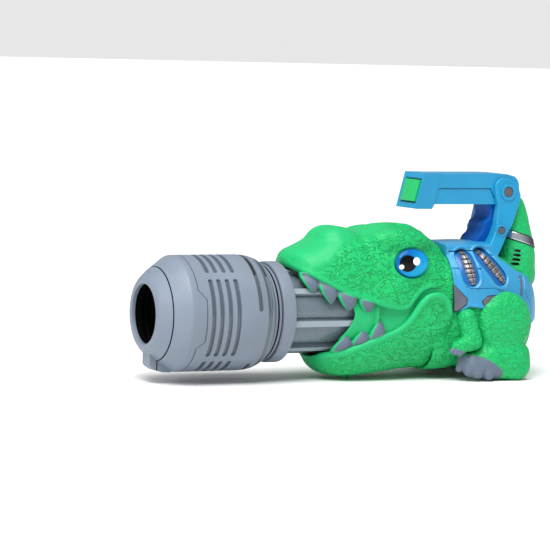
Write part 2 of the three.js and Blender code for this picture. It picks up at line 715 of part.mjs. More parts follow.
function makeBody() {
  const coverHole = box(COVER.x0 - GAP, COVER.x1 + GAP, -COVER.y - GAP, COVER.y + GAP, 0, COVER.z1 + GAP);
  const cavity = bodyLoft(-BODY_WALL, { front: 4, back: -3 });
  const shell = bodyLoft(0).subtract(cavity).subtract(coverHole).intersect(leftHalf());
  addPair('body_shell', shell, COLOURS.skin);

  const outline = sidePlate(HARNESS_OUTLINE, -80, 80);
  const strapInside = bodyLoft(GAP, { front: 3, back: GAP });
  const strap = bodyLoft(HARNESS_SKIN, { back: HARNESS_SKIN }).subtract(strapInside).intersect(outline);
  const holes = ovalPrism(RIB_FRONT, GAP).add(ovalPrism(RIB_REAR, GAP));
  addPair('harness', strap.intersect(leftHalf()).subtract(holes), COLOURS.blue);
  const skin = bodyLoft(HARNESS_SKIN + 0.5).subtract(bodyLoft(GAP));
  const frontInsert = skin.intersect(ovalPrism(RIB_FRONT, 0)).intersect(leftHalf());
  addPair('rib_insert_front', frontInsert, COLOURS.silver);
  addPair('rib_insert_rear', skin.intersect(ovalPrism(RIB_REAR, 0)), COLOURS.silver);
}

function harnessClear() {
  const outline = sidePlate(HARNESS_OUTLINE, -80, 80);
  const strap = bodyLoft(HARNESS_SKIN + GAP, { back: HARNESS_SKIN + GAP }).intersect(outline);
  return strap.add(bodyLoft(GAP, { back: GAP }));
}

// ---------- legs, arms and tail ----------

// x, half width, bottom, top of the foot
const FOOT = [
  [255.4, 7, 3.6, 14],
  [259, 10, 0.6, 17.4],
  [268, 12.4, -1, 20.6],
  [284, 13, -1, 21.6],
  [300, 13, -1, 23],
  [316, 12.4, -1, 26],
  [324, 10.4, 0, 25],
  [327.4, 7, 3, 20],
];
const FOOT_Y = -43.4;

function footLoft() {
  const rings = FOOT.map(([x, half, bottom, top]) => Array.from({ length: 12 }, (_, k) => {
    const t = (2 * Math.PI * (k + 0.5)) / 12;
    const middle = (top + bottom) / 2;
    const high = (top - bottom) / 2;
    return new THREE.Vector3(
      x,
      FOOT_Y + half * power(Math.cos(t), 0.7),
      middle + high * power(Math.sin(t), 0.7),
    );
  }));
  return loft(rings);
}

function makeLimbs() {
  const clear = bodyLoft(HARNESS_SKIN + GAP, { front: 3, back: HARNESS_SKIN + GAP });
  const thigh = ellipsoid(305, -39, 43, 23.5, 15.5, 29.5, { tilt: 0.12, across: 14, down: 8 });
  const leg = aboveFloor(thigh.add(footLoft()).subtract(clear));
  addPair('leg', leg, COLOURS.skin);

  const upperArm = ellipsoid(268, -43, 43, 7, 8, 15, { tilt: -0.2 });
  const foreArm = ellipsoid(265, -46.5, 31, 12, 6, 5.6, { tilt: 0.15 });
  const hand = ellipsoid(256.4, -47, 27.6, 7.6, 5.4, 4.6, { tilt: -0.3 });
  const front = box(251.2, 300, -70, 0, 0, 90);
  const arm = union([upperArm, foreArm, hand]).subtract(clear).intersect(front);
  addPair('arm', arm.subtract(headOuter(GAP)), COLOURS.skin);
}

// z, middle x, reach along x, half width
const TAIL = [
  [66, 322, 18.4, 25],
  [78, 329.1, 21.7, 26],
  [90, 331.6, 18.8, 24.6],
  [100, 332.8, 17.4, 22.8],
  [113, 332.4, 15.6, 20],
  [126, 331, 14.4, 17],
  [136, 330, 13, 14.4],
  [144, 329.4, 10, 11.4],
  [149, 328.8, 6.4, 7],
  [151, 328.6, 3, 3],
];
const HANDLE_REAR = [
  [200, 60], [285, 60], [296.6, 91], [304.8, 97], [313.6, 113], [317.8, 120.6], [321.6, 126],
  [326.4, 139.6], [328.4, 141], [329.2, 148.6], [329.4, 170], [200, 170],
];

function makeTail() {
  const rings = TAIL.map(([z, x, reach, half]) => Array.from({ length: 16 }, (_, k) => {
    const t = (2 * Math.PI * k) / 16;
    return new THREE.Vector3(x + reach * Math.cos(t), half * Math.sin(t), z);
  }));
  const behind = sidePlate(HANDLE_REAR, -80, 80);
  add('tail', loft(rings).subtract(behind).subtract(harnessClear()), COLOURS.skin);
}

// ---------- handle ----------

const HANDLE_HALF = 17.45;
const HANDLE_WALL = 2;
const HANDLE_OUTLINE = [
  [231.7, 137.7], [246.2, 137.6], [248, 141.3], [327.6, 141.3], [328.6, 148], [327.4, 159], [323.4, 164],
  [316, 166.4], [239.2, 166.6],
];
const HANDLE_CAVITY = [
  [234.3, 139.9], [245, 139.9], [246.8, 143.5], [325.4, 143.5], [326.4, 148.4], [325.2, 158],
  [321.8, 161.8], [315.4, 164.2], [240.7, 164.4],
];
const FACE = { x: 235.45, z: 152.1 };
const FACE_TILT = Math.atan2(7.5, 28.9);
const BUTTON = { half: 12.2, up: 9.5, proud: 1.4, depth: 8 };

// a box in the frame of the tilted front face: n runs inward, u runs up the face
function faceBox(n0, n1, half, u0, u1) {
  const geometry = new THREE.BoxGeometry(n1 - n0, 2 * half, u1 - u0);
  geometry.translate((n0 + n1) / 2, 0, (u0 + u1) / 2);
  geometry.rotateY(FACE_TILT);
  geometry.translate(FACE.x, 0, FACE.z);
  return solid(geometry);
}

function faceRod(n0, n1, r) {
  const geometry = new THREE.CylinderGeometry(r, r, n1 - n0, 12);
  geometry.rotateZ(-Math.PI / 2);
  geometry.translate((n0 + n1) / 2, 0, 0);
  geometry.rotateY(FACE_TILT);
  geometry.translate(FACE.x, 0, FACE.z);
  return solid(geometry);
}

const sideGroove = () => sidePlate([
  [254, 154.2], [300.2, 154.2], [307.4, 141], [308.4, 141.6], [300.9, 155.2], [254, 155.2],
], -HANDLE_HALF - 1, -HANDLE_HALF + 0.7);

function makeHandle() {
  const outer = sidePlate(HANDLE_OUTLINE, -HANDLE_HALF, -HALF_GAP);
  const cavity = sidePlate(HANDLE_CAVITY, -HANDLE_HALF + HANDLE_WALL, 5);
  const window = faceBox(-5, 6, BUTTON.half + GAP + 0.05, -BUTTON.up - GAP - 0.05, BUTTON.up + GAP + 0.05);
  addPair('handle_bar', outer.subtract(cavity).subtract(window).subtract(sideGroove()), COLOURS.blue);

  const block = faceBox(-BUTTON.proud, BUTTON.depth, BUTTON.half, -BUTTON.up, BUTTON.up);
  add('trigger_button', block.add(faceRod(BUTTON.depth - 1, 12.4, 2.4)), COLOURS.button);
  add('button_switch', faceBox(17, 24, 5, -1.8, 6.2), COLOURS.rubber);
  makeSpring();

  const post = sidePlate([
    [301.4, 141], [303.6, 134], [302.6, 129.6], [297.6, 126.4], [297.4, 121], [295.8, 117.6], [291.6, 114.2],
    [287, 104], [300, 92],
    [304, 98], [312.6, 113.4], [316.8, 121], [320.4, 126.8], [324.4, 141],
  ], -13.4, 13.4);
  add('handle_post', post.subtract(harnessClear()), COLOURS.darkBlue);
  makeArmPlates();
}

const SPRING = { n0: 8.6, n1: 16.4, radius: 3.9, wire: 0.5, turns: 4 };

function makeSpring() {
  const { n0, n1, radius, wire, turns } = SPRING;
  const steps = turns * 8;
  const points = Array.from({ length: steps + 1 }, (_, k) => {
    const t = (2 * Math.PI * k) / 8;
    return new THREE.Vector3(n0 + ((n1 - n0) * k) / steps, radius * Math.cos(t), radius * Math.sin(t));
  });
  const circle = shapeOf(Array.from({ length: 4 }, (_, k) => (
    [wire * Math.cos((Math.PI * k) / 2), wire * Math.sin((Math.PI * k) / 2)])));
  const path = new THREE.CatmullRomCurve3(points);
  const geometry = new THREE.ExtrudeGeometry(circle, { steps, extrudePath: path, bevelEnabled: false });
  geometry.rotateY(FACE_TILT);
  geometry.translate(FACE.x, 0, FACE.z);
  add('button_spring', solid(geometry), COLOURS.metal);
}

// z, left x, right x, inner y, outer y
const ARM_PLATE = [
  [161.4, 308, 318, 17.8, 19.2],
  [157, 302.6, 325, 17.8, 19.9],
  [149, 303.8, 328.2, 17.8, 20.2],
  [141.1, 306.8, 326.4, 17.8, 20.6],
  [140.8, 307, 326.2, 13.8, 20.8],
  [125.5, 304, 320.6, 13.8, 22.8],
  [117, 300.4, 315.4, 13.8, 24.4],
  [108.7, 293, 311, 13.8, 26.6],
  [92, 284, 300, 13.8, 31],
];
const UPPER_PIVOT = { x: 315.8, z: 151.7, ring: 7.5, cap: 4.1, y: 20.2 };
const LOWER_PIVOT = { x: 308.2, z: 120.2, ring: 5.4, cap: 3.1, y: 23.8 };

// a disc on the left arm plate, from inner to outer distance from the middle plane
function sideDisc({ x, z }, r, inner, outer, segments = 16) {
  const geometry = new THREE.CylinderGeometry(r, r, outer - inner, segments);
  geometry.translate(x, -(inner + outer) / 2, z);
  return solid(geometry);
}

function makeArmPlates() {
  const rings = ARM_PLATE.map(([z, left, right, inner, outer]) => {
    const bevel = 1.2;
    const corners = [
      [left, inner], [right, inner], [right, outer - bevel],
      [right - bevel, outer], [left + bevel, outer], [left, outer - bevel],
    ];
    return corners.map(([x, y]) => new THREE.Vector3(x, -y, z));
  });
  let plate = loft(rings).subtract(harnessClear());
  for (const pivot of [UPPER_PIVOT, LOWER_PIVOT]) {
    plate = plate.add(sideDisc(pivot, pivot.ring, pivot.y - 1.4, pivot.y + 1));
    plate = plate.subtract(sideDisc(pivot, pivot.cap + GAP, pivot.y - 0.6, pivot.y + 5));
  }
  addPair('arm_plate', plate, COLOURS.blue);
  const capOf = (pivot) => sideDisc(pivot, pivot.cap, pivot.y - 0.3, pivot.y + 1.4);
  addPair('upper_pivot_cap', capOf(UPPER_PIVOT), COLOURS.silver);
  addPair('lower_pivot_cap', capOf(LOWER_PIVOT), COLOURS.silver);
}

// ---------- power and sound ----------

const CELL_R = 7.1;
const CELL_X = [263, 313.4];
const CELL_PITCH = 15.2;
const TRAY_WALL = 1.6;
const SCREW_X = 311;

function makePower() {
  const { x0, x1, y, z0, z1 } = BATTERY;
  const w = TRAY_WALL;
  const room = box(x0 + w, x1 - w, -y + w, y - w, z0 - 5, z1 - w);
  add('battery_box', box(x0, x1, -y, y, z0, z1).subtract(room), COLOURS.rubber);
  const names = ['battery_cell_left', 'battery_cell_middle', 'battery_cell_right'];
  names.forEach((name, k) => {
    const at = { y: (k - 1) * CELL_PITCH, z: z0 + CELL_R + 0.6, segments: 18 };
    const [a, b] = CELL_X;
    add(name, turned([[a, 0], [a, CELL_R], [b - 1, CELL_R], [b - 1, 2.6], [b, 2.6], [b, 0]], at), COLOURS.cell);
  });
  const cover = box(COVER.x0, COVER.x1, -COVER.y, COVER.y, COVER.z0, COVER.z1);
  const screwHole = new THREE.CylinderGeometry(2.9, 2.9, 10, 14);
  screwHole.rotateX(Math.PI / 2);
  screwHole.translate(SCREW_X, 0, COVER.z0);
  add('battery_cover', cover.subtract(solid(screwHole)), COLOURS.rubber);
  const screw = new THREE.CylinderGeometry(2.5, 2.5, 1.8, 14);
  screw.rotateX(Math.PI / 2);
  screw.translate(SCREW_X, 0, 10);
  add('battery_screw', solid(screw), COLOURS.metal);
  add('circuit_board', box(264, 304, 6, 7.6, 50, 88), COLOURS.board);
  const profile = [[0, 0], [11, 0], [11, 2], [6, 7], [0, 7]].map(([r, h]) => new THREE.Vector2(r, h));
  const speaker = new THREE.LatheGeometry(profile, 24);
  speaker.translate(308, -31, 66);
  add('speaker', solid(speaker), COLOURS.rubber);
}

makeNozzle();
makeBarrel();
makeWheel();
makeReservoir();
makeGearbox();
makeFan();
makeHead();
makeThroat();
makeTeeth();
makeBody();
makeLimbs();
makeTail();
makeHandle();
makePower();

toy.position.x = -LENGTH / 2;

export default toy;
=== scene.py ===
import json
import math

import bmesh
import bpy
import numpy as np
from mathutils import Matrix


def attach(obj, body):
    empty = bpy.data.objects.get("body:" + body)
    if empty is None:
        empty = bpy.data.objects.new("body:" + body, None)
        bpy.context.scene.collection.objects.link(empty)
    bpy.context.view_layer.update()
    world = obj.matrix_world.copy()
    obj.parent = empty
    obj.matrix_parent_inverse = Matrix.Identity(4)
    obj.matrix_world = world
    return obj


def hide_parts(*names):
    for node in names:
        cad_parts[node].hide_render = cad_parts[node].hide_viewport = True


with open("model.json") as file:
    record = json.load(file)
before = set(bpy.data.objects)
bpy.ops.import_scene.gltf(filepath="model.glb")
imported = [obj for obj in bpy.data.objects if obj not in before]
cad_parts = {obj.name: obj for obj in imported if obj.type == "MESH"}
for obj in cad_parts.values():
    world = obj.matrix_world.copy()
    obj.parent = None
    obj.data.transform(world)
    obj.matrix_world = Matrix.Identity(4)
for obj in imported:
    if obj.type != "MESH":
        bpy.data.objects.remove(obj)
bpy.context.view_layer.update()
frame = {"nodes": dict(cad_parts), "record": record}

import openvdb
from mathutils import Matrix, Vector

# Lengths in this script are millimetres measured from the nozzle's front lip (x), the middle plane (y,
# the left flank is -y) and the floor (z). in_frame() moves them into the frame, which is in metres.
HALF_LENGTH = 175.4
HALF_WIDTH = 55.5
NOZZLE_Z = 54.4
SIDES = ("left", "right")
BEVEL_ANGLE = 40

# ---------- meshes ----------


def in_frame(points):
    """Millimetres of this script as metres of the frame."""
    return (np.asarray(points, dtype=np.float64) - np.array([HALF_LENGTH, 0, 0])) * 0.001


def flat_mesh(name, points, faces):
    mesh = bpy.data.meshes.new(name)
    mesh.from_pydata(in_frame(points).tolist(), [], faces)
    mesh.update()
    return mesh


def piece(name, mesh, material, replaced=(), body="housing"):
    """A shown piece. The material is a key of M."""
    obj = bpy.data.objects.new(name, mesh)
    bpy.context.scene.collection.objects.link(obj)
    mesh.materials.append(M[material])
    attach(obj, body)
    if replaced:
        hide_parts(*replaced)
    return obj


def soften(mesh, degrees=32):
    mesh.shade_smooth()
    mesh.set_sharp_from_angle(angle=math.radians(degrees))


def temp(name, points, faces):
    """An object that is only an operand of a boolean."""
    obj = bpy.data.objects.new(name, flat_mesh(name, points, faces))
    bpy.context.scene.collection.objects.link(obj)
    fix_normals(obj.data)
    return obj


def fix_normals(mesh):
    bm = bmesh.new()
    bm.from_mesh(mesh)
    bmesh.ops.remove_doubles(bm, verts=bm.verts, dist=1e-7)
    bmesh.ops.recalc_face_normals(bm, faces=bm.faces)
    bm.to_mesh(mesh)
    bm.free()


def loft(name, rings):
    """Rings of the same number of points joined into one closed body."""
    sides = len(rings[0])
    points = [p for ring in rings for p in ring]
    faces = []
    for i in range(len(rings) - 1):
        for k in range(sides):
            a, b = i * sides + k, i * sides + (k + 1) % sides
            faces.append((a, b, b + sides, a + sides))
    faces.append(tuple(reversed(range(sides))))
    faces.append(tuple(range((len(rings) - 1) * sides, len(rings) * sides)))
    return temp(name, points, faces)


def turned(name, profile, segments=160, hollow=True):
    """A closed profile of (x, r) turned about the nozzle's axis.

    A profile that is not hollow starts and ends at r = 0.
    """
    rings = []
    for k in range(segments):
        t = 2 * math.pi * k / segments
        rings.append([(x, r * math.sin(t), NOZZLE_Z + r * math.cos(t)) for x, r in profile])
    count = len(profile)
    points = [p for ring in rings for p in ring]
    faces = []
    last = count if hollow else count - 1
    for k in range(segments):
        a, b = k * count, (k + 1) % segments * count
        for i in range(last):
            j = (i + 1) % count
            face = [a + i, a + j, b + j, b + i]
            if profile[i][1] == 0:
                face = [a + i, a + j, b + j]
            elif profile[j][1] == 0:
                face = [a + i, a + j, b + i]
            faces.append(tuple(face))
    return temp(name, points, faces)


def rod(name, x0, x1, r):
    return turned(name, [(x0, 0), (x0, r), (x1, r), (x1, 0)], hollow=False)


def side_plate(name, outline, y0, y1):
    """An (x, z) outline carried from y0 to y1."""
    return loft(name, [[(x, y, z) for x, z in outline] for y in (y0, y1)])


def cross_plate(name, outline, x0, x1):
    """A (y, z) outline carried from x0 to x1."""
    return loft(name, [[(x, y, z) for y, z in outline] for x in (x0, x1)])


def box(name, x0, x1, y0, y1, z0, z1):
    return cross_plate(name, [(y0, z0), (y1, z0), (y1, z1), (y0, z1)], x0, x1)


def combine(obj, others, operation="DIFFERENCE"):
    """Joins or cuts with MANIFOLD, and applies it."""
    for other in others:
        modifier = obj.modifiers.new("cut", "BOOLEAN")
        modifier.operation = operation
        modifier.solver = "MANIFOLD"
        modifier.object = other
    graph = bpy.context.evaluated_depsgraph_get()
    made = bpy.data.meshes.new_from_object(obj.evaluated_get(graph))
    obj.modifiers.clear()
    obj.data = made
    for other in others:
        bpy.data.objects.remove(other)
    return obj


def hand_over(obj, name, material, replaced=(), body="housing", bevel=0.0, segments=2, angle=32):
    """Turns a finished operand into a shown piece, with small rounded edges."""
    mesh = obj.data
    bpy.data.objects.remove(obj)
    mesh.name = name
    mesh.materials.clear()
    fix_normals(mesh)
    made = piece(name, mesh, material, replaced, body)
    soften(mesh, angle)
    if bevel:
        edge = made.modifiers.new("edges", "BEVEL")
        edge.width = bevel * 0.001
        edge.segments = segments
        edge.limit_method = "ANGLE"
        edge.angle_limit = math.radians(BEVEL_ANGLE)
        edge.harden_normals = True
    return made


def both_sides(name, mesh, material, replaced=None):
    """The mesh on the left flank and its mirror image on the right one."""
    for side, data in zip(SIDES, (mesh, flipped(mesh))):
        nodes = [replaced + "_" + side] if replaced else []
        piece(name + "_" + side, data, material, nodes)


def flipped(mesh):
    """The same mesh on the other side of the middle plane."""
    other = mesh.copy()
    other.transform(Matrix.Diagonal((1, -1, 1, 1)))
    other.flip_normals()
    return other


# ---------- fields: a solid is a grid of distances, below zero inside ----------


def smooth_table(x, table):
    """Monotone cubic through the rows (x, values...), one array per value column."""
    rows = np.array(table, dtype=np.float64)
    xs = rows[:, 0]
    out = []
    h = np.diff(xs)
    for column in rows[:, 1:].T:
        slope = np.diff(column) / h
        m = np.zeros_like(column)
        inner = slope[:-1] * slope[1:] > 0
        w1, w2 = 2 * h[1:] + h[:-1], h[1:] + 2 * h[:-1]
        with np.errstate(divide="ignore", invalid="ignore"):
            harmonic = (w1 + w2) / (w1 / slope[:-1] + w2 / slope[1:])
        m[1:-1] = np.where(inner, harmonic, 0)
        m[0], m[-1] = slope[0], slope[-1]
        i = np.clip(np.searchsorted(xs, x) - 1, 0, len(h) - 1)
        t = np.clip((x - xs[i]) / h[i], 0, 1)
        a, b = column[i], column[i + 1]
        value = (a * (1 + 2 * t) * (1 - t) ** 2 + m[i] * h[i] * t * (1 - t) ** 2
                 + b * t * t * (3 - 2 * t) + m[i + 1] * h[i] * t * t * (t - 1))
        out.append(value)
    return out


def grid(low, high, voxel):
    axes = [np.arange(a, b + voxel, voxel) for a, b in zip(low, high)]
    return axes[0][:, None, None], axes[1][None, :, None], axes[2][None, None, :]


def normalised(f, voxel):
    """Turns a field with the right zero into one that is nearly a distance close to that zero."""
    gx, gy, gz = np.gradient(f, voxel)
    steep = np.sqrt(gx * gx + gy * gy + gz * gz)
    return f / np.maximum(steep, 1e-3)


def join(a, b, k):
    h = np.clip(0.5 + 0.5 * (b - a) / k, 0, 1)
    return b + (a - b) * h - k * h * (1 - h)


def meet(a, b, k):
    return -join(-a, -b, k)


def cut(a, b, k):
    return meet(a, -b, k)


def off_segments(px, pz, segments):
    """Distance in a plane from the nearest of some straight segments."""
    nearest = np.full(px.shape, 1e9)
    for (ax, az), (bx, bz) in segments:
        dx, dz = bx - ax, bz - az
        t = np.clip(((px - ax) * dx + (pz - az) * dz) / (dx * dx + dz * dz), 0, 1)
        nearest = np.minimum(nearest, (px - ax - t * dx) ** 2 + (pz - az - t * dz) ** 2)
    return np.sqrt(nearest)


def polygon(x, z, outline):
    """Signed distance in the (x, z) plane, below zero inside."""
    px, pz = np.broadcast_arrays(x, z)
    inside = np.zeros(px.shape, dtype=bool)
    segments = list(zip(outline, outline[1:] + outline[:1]))
    for (ax, az), (bx, bz) in segments:
        crosses = (az > pz) != (bz > pz)
        at = ax + (pz - az) * (bx - ax) / ((bz - az) or 1e-9)
        inside ^= crosses & (px < at)
    distance = off_segments(px, pz, segments)
    return np.where(inside, -distance, distance)


def curve_distance(x, z, points):
    """Distance in the (x, z) plane from an open chain of points."""
    px, pz = np.broadcast_arrays(x, z)
    return off_segments(px, pz, list(zip(points[:-1], points[1:])))


def rounded(points, passes=2):
    """Cuts the corners of an open chain, twice by default."""
    chain = [tuple(map(float, p)) for p in points]
    for _ in range(passes):
        made = [chain[0]]
        for (ax, az), (bx, bz) in zip(chain[:-1], chain[1:]):
            made.append((0.75 * ax + 0.25 * bx, 0.75 * az + 0.25 * bz))
            made.append((0.25 * ax + 0.75 * bx, 0.25 * az + 0.75 * bz))
        made.append(chain[-1])
        chain = made
    return chain


def capsule(x, y, z, a, b, ra, rb):
    """Distance from a tapered rod between two points."""
    a, b = np.array(a, dtype=float), np.array(b, dtype=float)
    d = b - a
    t = ((x - a[0]) * d[0] + (y - a[1]) * d[1] + (z - a[2]) * d[2]) / (d @ d)
    t = np.clip(t, 0, 1)
    u, v, w = x - a[0] - t * d[0], y - a[1] - t * d[1], z - a[2] - t * d[2]
    return np.sqrt(u ** 2 + v ** 2 + w ** 2) - (ra + (rb - ra) * t)


def ellipsoid(x, y, z, centre, radii, tilt=0.0):
    """tilt turns it in the (x, z) plane, nose down."""
    c, s = math.cos(tilt), math.sin(tilt)
    u, w = x - centre[0], z - centre[2]
    p = (c * u - s * w) / radii[0]
    q = (y - centre[1]) / radii[1]
    r = (s * u + c * w) / radii[2]
    f = np.sqrt(p * p + q * q + r * r)
    g = np.sqrt((p / radii[0]) ** 2 + (q / radii[1]) ** 2 + (r / radii[2]) ** 2)
    return f * (f - 1) / np.maximum(g, 1e-6)


def bump(value, width):
    """1 at zero, falling smoothly to 0 at width."""
    t = np.clip(1 - np.abs(value) / width, 0, 1)
    return t * t * (3 - 2 * t)


def waves(points, size, seed, count=7):
    """Soft lumps between about -1 and 1, the same every run."""
    rng = np.random.default_rng(seed)
    total = 0
    for _ in range(count):
        direction = rng.normal(size=3)
        direction *= 2 * math.pi / (size * rng.uniform(0.7, 1.4)) / np.linalg.norm(direction)
        total = total + np.sin(points @ direction + rng.uniform(0, 2 * math.pi))
    return total / math.sqrt(count)


def surface(name, field, low, voxel, passes=0, amount=0.4):
    """A closed mesh of quads on the field's zero, evened out in some passes."""
    band = 3 * voxel
    volume = np.full([n + 2 for n in field.shape], band, dtype=np.float32)
    volume[1:-1, 1:-1, 1:-1] = np.clip(field, -band, band)
    levels = openvdb.FloatGrid(band)
    levels.copyFromArray(volume)
    points, quads = levels.convertToQuads()
    points = (points.astype(np.float64) - 1) * voxel + np.array(low)
    mesh = bpy.data.meshes.new(name)
    count = len(quads)
    mesh.vertices.add(len(points))
    mesh.vertices.foreach_set("co", in_frame(points).astype(np.float32).ravel())
    mesh.loops.add(count * 4)
    mesh.loops.foreach_set("vertex_index", np.asarray(quads, dtype=np.int32)[:, ::-1].ravel())
    mesh.polygons.add(count)
    mesh.polygons.foreach_set("loop_start", np.arange(count, dtype=np.int32) * 4)
    mesh.update(calc_edges=True)
    mesh.validate()
    if volume_sign(mesh) < 0:
        mesh.flip_normals()
    mesh.shade_smooth()
    relax(mesh, passes, amount)
    return mesh


def volume_sign(mesh):
    """Above zero if the faces look outwards."""
    bm = bmesh.new()
    bm.from_mesh(mesh)
    sign = bm.calc_volume(signed=True)
    bm.free()
    return sign


def points_of(mesh):
    flat = np.empty(len(mesh.vertices) * 3, dtype=np.float32)
    mesh.vertices.foreach_get("co", flat)
    return flat.reshape(-1, 3).astype(np.float64) * 1000 + np.array([HALF_LENGTH, 0, 0])


def normals_of(mesh):
    flat = np.empty(len(mesh.vertices) * 3, dtype=np.float32)
    mesh.vertices.foreach_get("normal", flat)
    return flat.reshape(-1, 3).astype(np.float64)


def relax(mesh, passes, amount):
    """Evens out the steps that the grid leaves."""
    bm = bmesh.new()
    bm.from_mesh(mesh)
    for _ in range(passes):
        bmesh.ops.smooth_vert(bm, verts=bm.verts, factor=amount,
                              use_axis_x=True, use_axis_y=True, use_axis_z=True)
    bm.to_mesh(mesh)
    bm.free()


def mark(mesh, name, values):
    layer = mesh.attributes.new(name, "FLOAT", "POINT")
    layer.data.foreach_set("value", np.clip(values, 0, 1).astype(np.float32))


# ---------- materials ----------


class Nodes:
    """A short way to build one material's node tree."""

    def __init__(self, name):
        self.material = bpy.data.materials.new(name)
        self.material.use_nodes = True
        self.tree = self.material.node_tree
        self.shader = self.tree.nodes["Principled BSDF"]
        self.place = self.tree.nodes.new("ShaderNodeTexCoord").outputs["Object"]

    def add(self, kind, inputs=None, **settings):
        node = self.tree.nodes.new("ShaderNode" + kind)
        for key, value in settings.items():
            setattr(node, key, value)
        for key, value in (inputs or {}).items():
            self.feed(node.inputs[key], value)
        return node

    def feed(self, socket, value):
        if isinstance(value, bpy.types.NodeSocket):
            self.tree.links.new(value, socket)
        else:
            socket.default_value = value

    def maths(self, operation, a, b=0.0):
        return self.add("Math", {0: a, 1: b}, operation=operation).outputs[0]

    def noise(self, scale, detail=2.0, rough=0.5, place=None):
        node = self.add("TexNoise", {"Scale": scale, "Detail": detail, "Roughness": rough})
        self.feed(node.inputs["Vector"], self.place if place is None else place)
        return node.outputs["Fac"]

    def ramp(self, fac, *stops):
        node = self.add("ValToRGB", {"Fac": fac})
        elements = node.color_ramp.elements
        while len(elements) < len(stops):
            elements.new(0.5)
        for element, (at, colour) in zip(elements, stops):
            element.position = at
            element.color = tuple(colour) + (1.0,) if len(colour) == 3 else colour
        return node.outputs["Color"]

    def grey_ramp(self, fac, low, high):
        return self.ramp(fac, (low, (0, 0, 0)), (high, (1, 1, 1)))

    def mix(self, fac, a, b):
        """Colour a where fac is 0 and colour b where it is 1."""
        node = self.add("Mix", data_type="RGBA")
        self.feed(node.inputs[0], fac)
        for place, value in ((6, a), (7, b)):
            is_socket = isinstance(value, bpy.types.NodeSocket)
            self.feed(node.inputs[place], value if is_socket else tuple(value) + (1.0,))
        return node.outputs[2]

    def attribute(self, name):
        return self.add("Attribute", attribute_name=name).outputs["Fac"]

    def colour(self, value):
        self.feed(self.shader.inputs["Base Color"], value)

    def set(self, **values):
        for key, value in values.items():
            self.feed(self.shader.inputs[key.replace("_", " ")], value)

    def relief(self, height, distance, strength=1.0, normal=None):
        node = self.add("Bump", {"Height": height, "Strength": strength, "Distance": distance})
        if normal is not None:
            self.feed(node.inputs["Normal"], normal)
        return node.outputs["Normal"]

    def set_normal(self, normal):
        self.feed(self.shader.inputs["Normal"], normal)


SKIN = (0.005, 0.425, 0.108)
SKIN_LIT = (0.006, 0.450, 0.132)
SKIN_SMOOTH = (0.012, 0.425, 0.165)
# darker green of the wrinkles' creases: painted shade
SKIN_CREASE_SHADE = (0.001, 0.150, 0.026)
WRINKLE_SCALE = 135.0


def skin_material(name, mask=None, paint=None):
    """Soft vinyl covered in short wavy wrinkles, whose creases are darkened with painted shade, except where
    the attribute plain is 1.

    Where the attribute named by mask is 1, the skin is painted.
    """
    n = Nodes(name)
    warp = n.add("TexNoise", {"Vector": n.place, "Scale": 330.0, "Detail": 1.0})
    spread = n.add("VectorMath", {0: warp.outputs["Color"], 1: (0.5, 0.5, 0.5)}, operation="SUBTRACT")
    push = n.add("VectorMath", {0: spread.outputs[0], "Scale": 0.0046}, operation="SCALE")
    moved = n.add("VectorMath", {0: n.place, 1: push.outputs[0]}, operation="ADD")
    long_way = n.add("Mapping", {"Vector": moved.outputs[0]})
    long_way.inputs["Scale"].default_value = (0.66, 0.85, 1.4)
    folds = n.noise(WRINKLE_SCALE, 1.0, place=long_way.outputs[0])
    turn = n.maths("FRACT", n.maths("MULTIPLY", folds, 5.0))
    near_fold = n.maths("ABSOLUTE", n.maths("SUBTRACT", turn, 0.5))
    crease = n.grey_ramp(near_fold, 0.0, 0.34)
    broken = n.grey_ramp(n.noise(260.0, 1.0), 0.52, 0.62)
    crease = n.maths("MAXIMUM", crease, broken)
    plain = n.attribute("plain")
    height = n.maths("MAXIMUM", crease, plain)
    fine = n.noise(900.0, 3.0)
    lumps = n.noise(60.0, 2.0)
    tone = n.mix(n.grey_ramp(lumps, 0.3, 0.7), SKIN, SKIN_LIT)
    tone = n.mix(n.maths("MULTIPLY", n.maths("POWER", plain, 3.0), 0.6), tone, SKIN_SMOOTH)
    # painted shade: the creases of the wrinkles turn darker
    tone = n.mix(n.maths("MULTIPLY", n.maths("SUBTRACT", 1.0, height), 0.18), tone, SKIN_CREASE_SHADE)
    if mask:
        patches = n.add("TexNoise", {"Scale": 120.0}).outputs["Fac"]
        dark, light = (tuple(c * share for c in paint) for share in (0.86, 1.14))
        tone = n.mix(n.attribute(mask), tone, n.ramp(patches, (0.35, dark), (0.65, light)))
    n.colour(tone)
    n.set(Roughness=n.maths("ADD", n.maths("MULTIPLY", fine, 0.14), 0.40), Specular_IOR_Level=0.3)
    n.set(Subsurface_Weight=0.0 if mask else 0.12, Subsurface_Scale=0.004)
    n.set(Subsurface_Radius=(0.35, 1.0, 0.45))
    deep = n.relief(height, 0.0009, 1.0)
    n.set_normal(n.relief(fine, 0.00006, 0.6, deep))
    return n.material


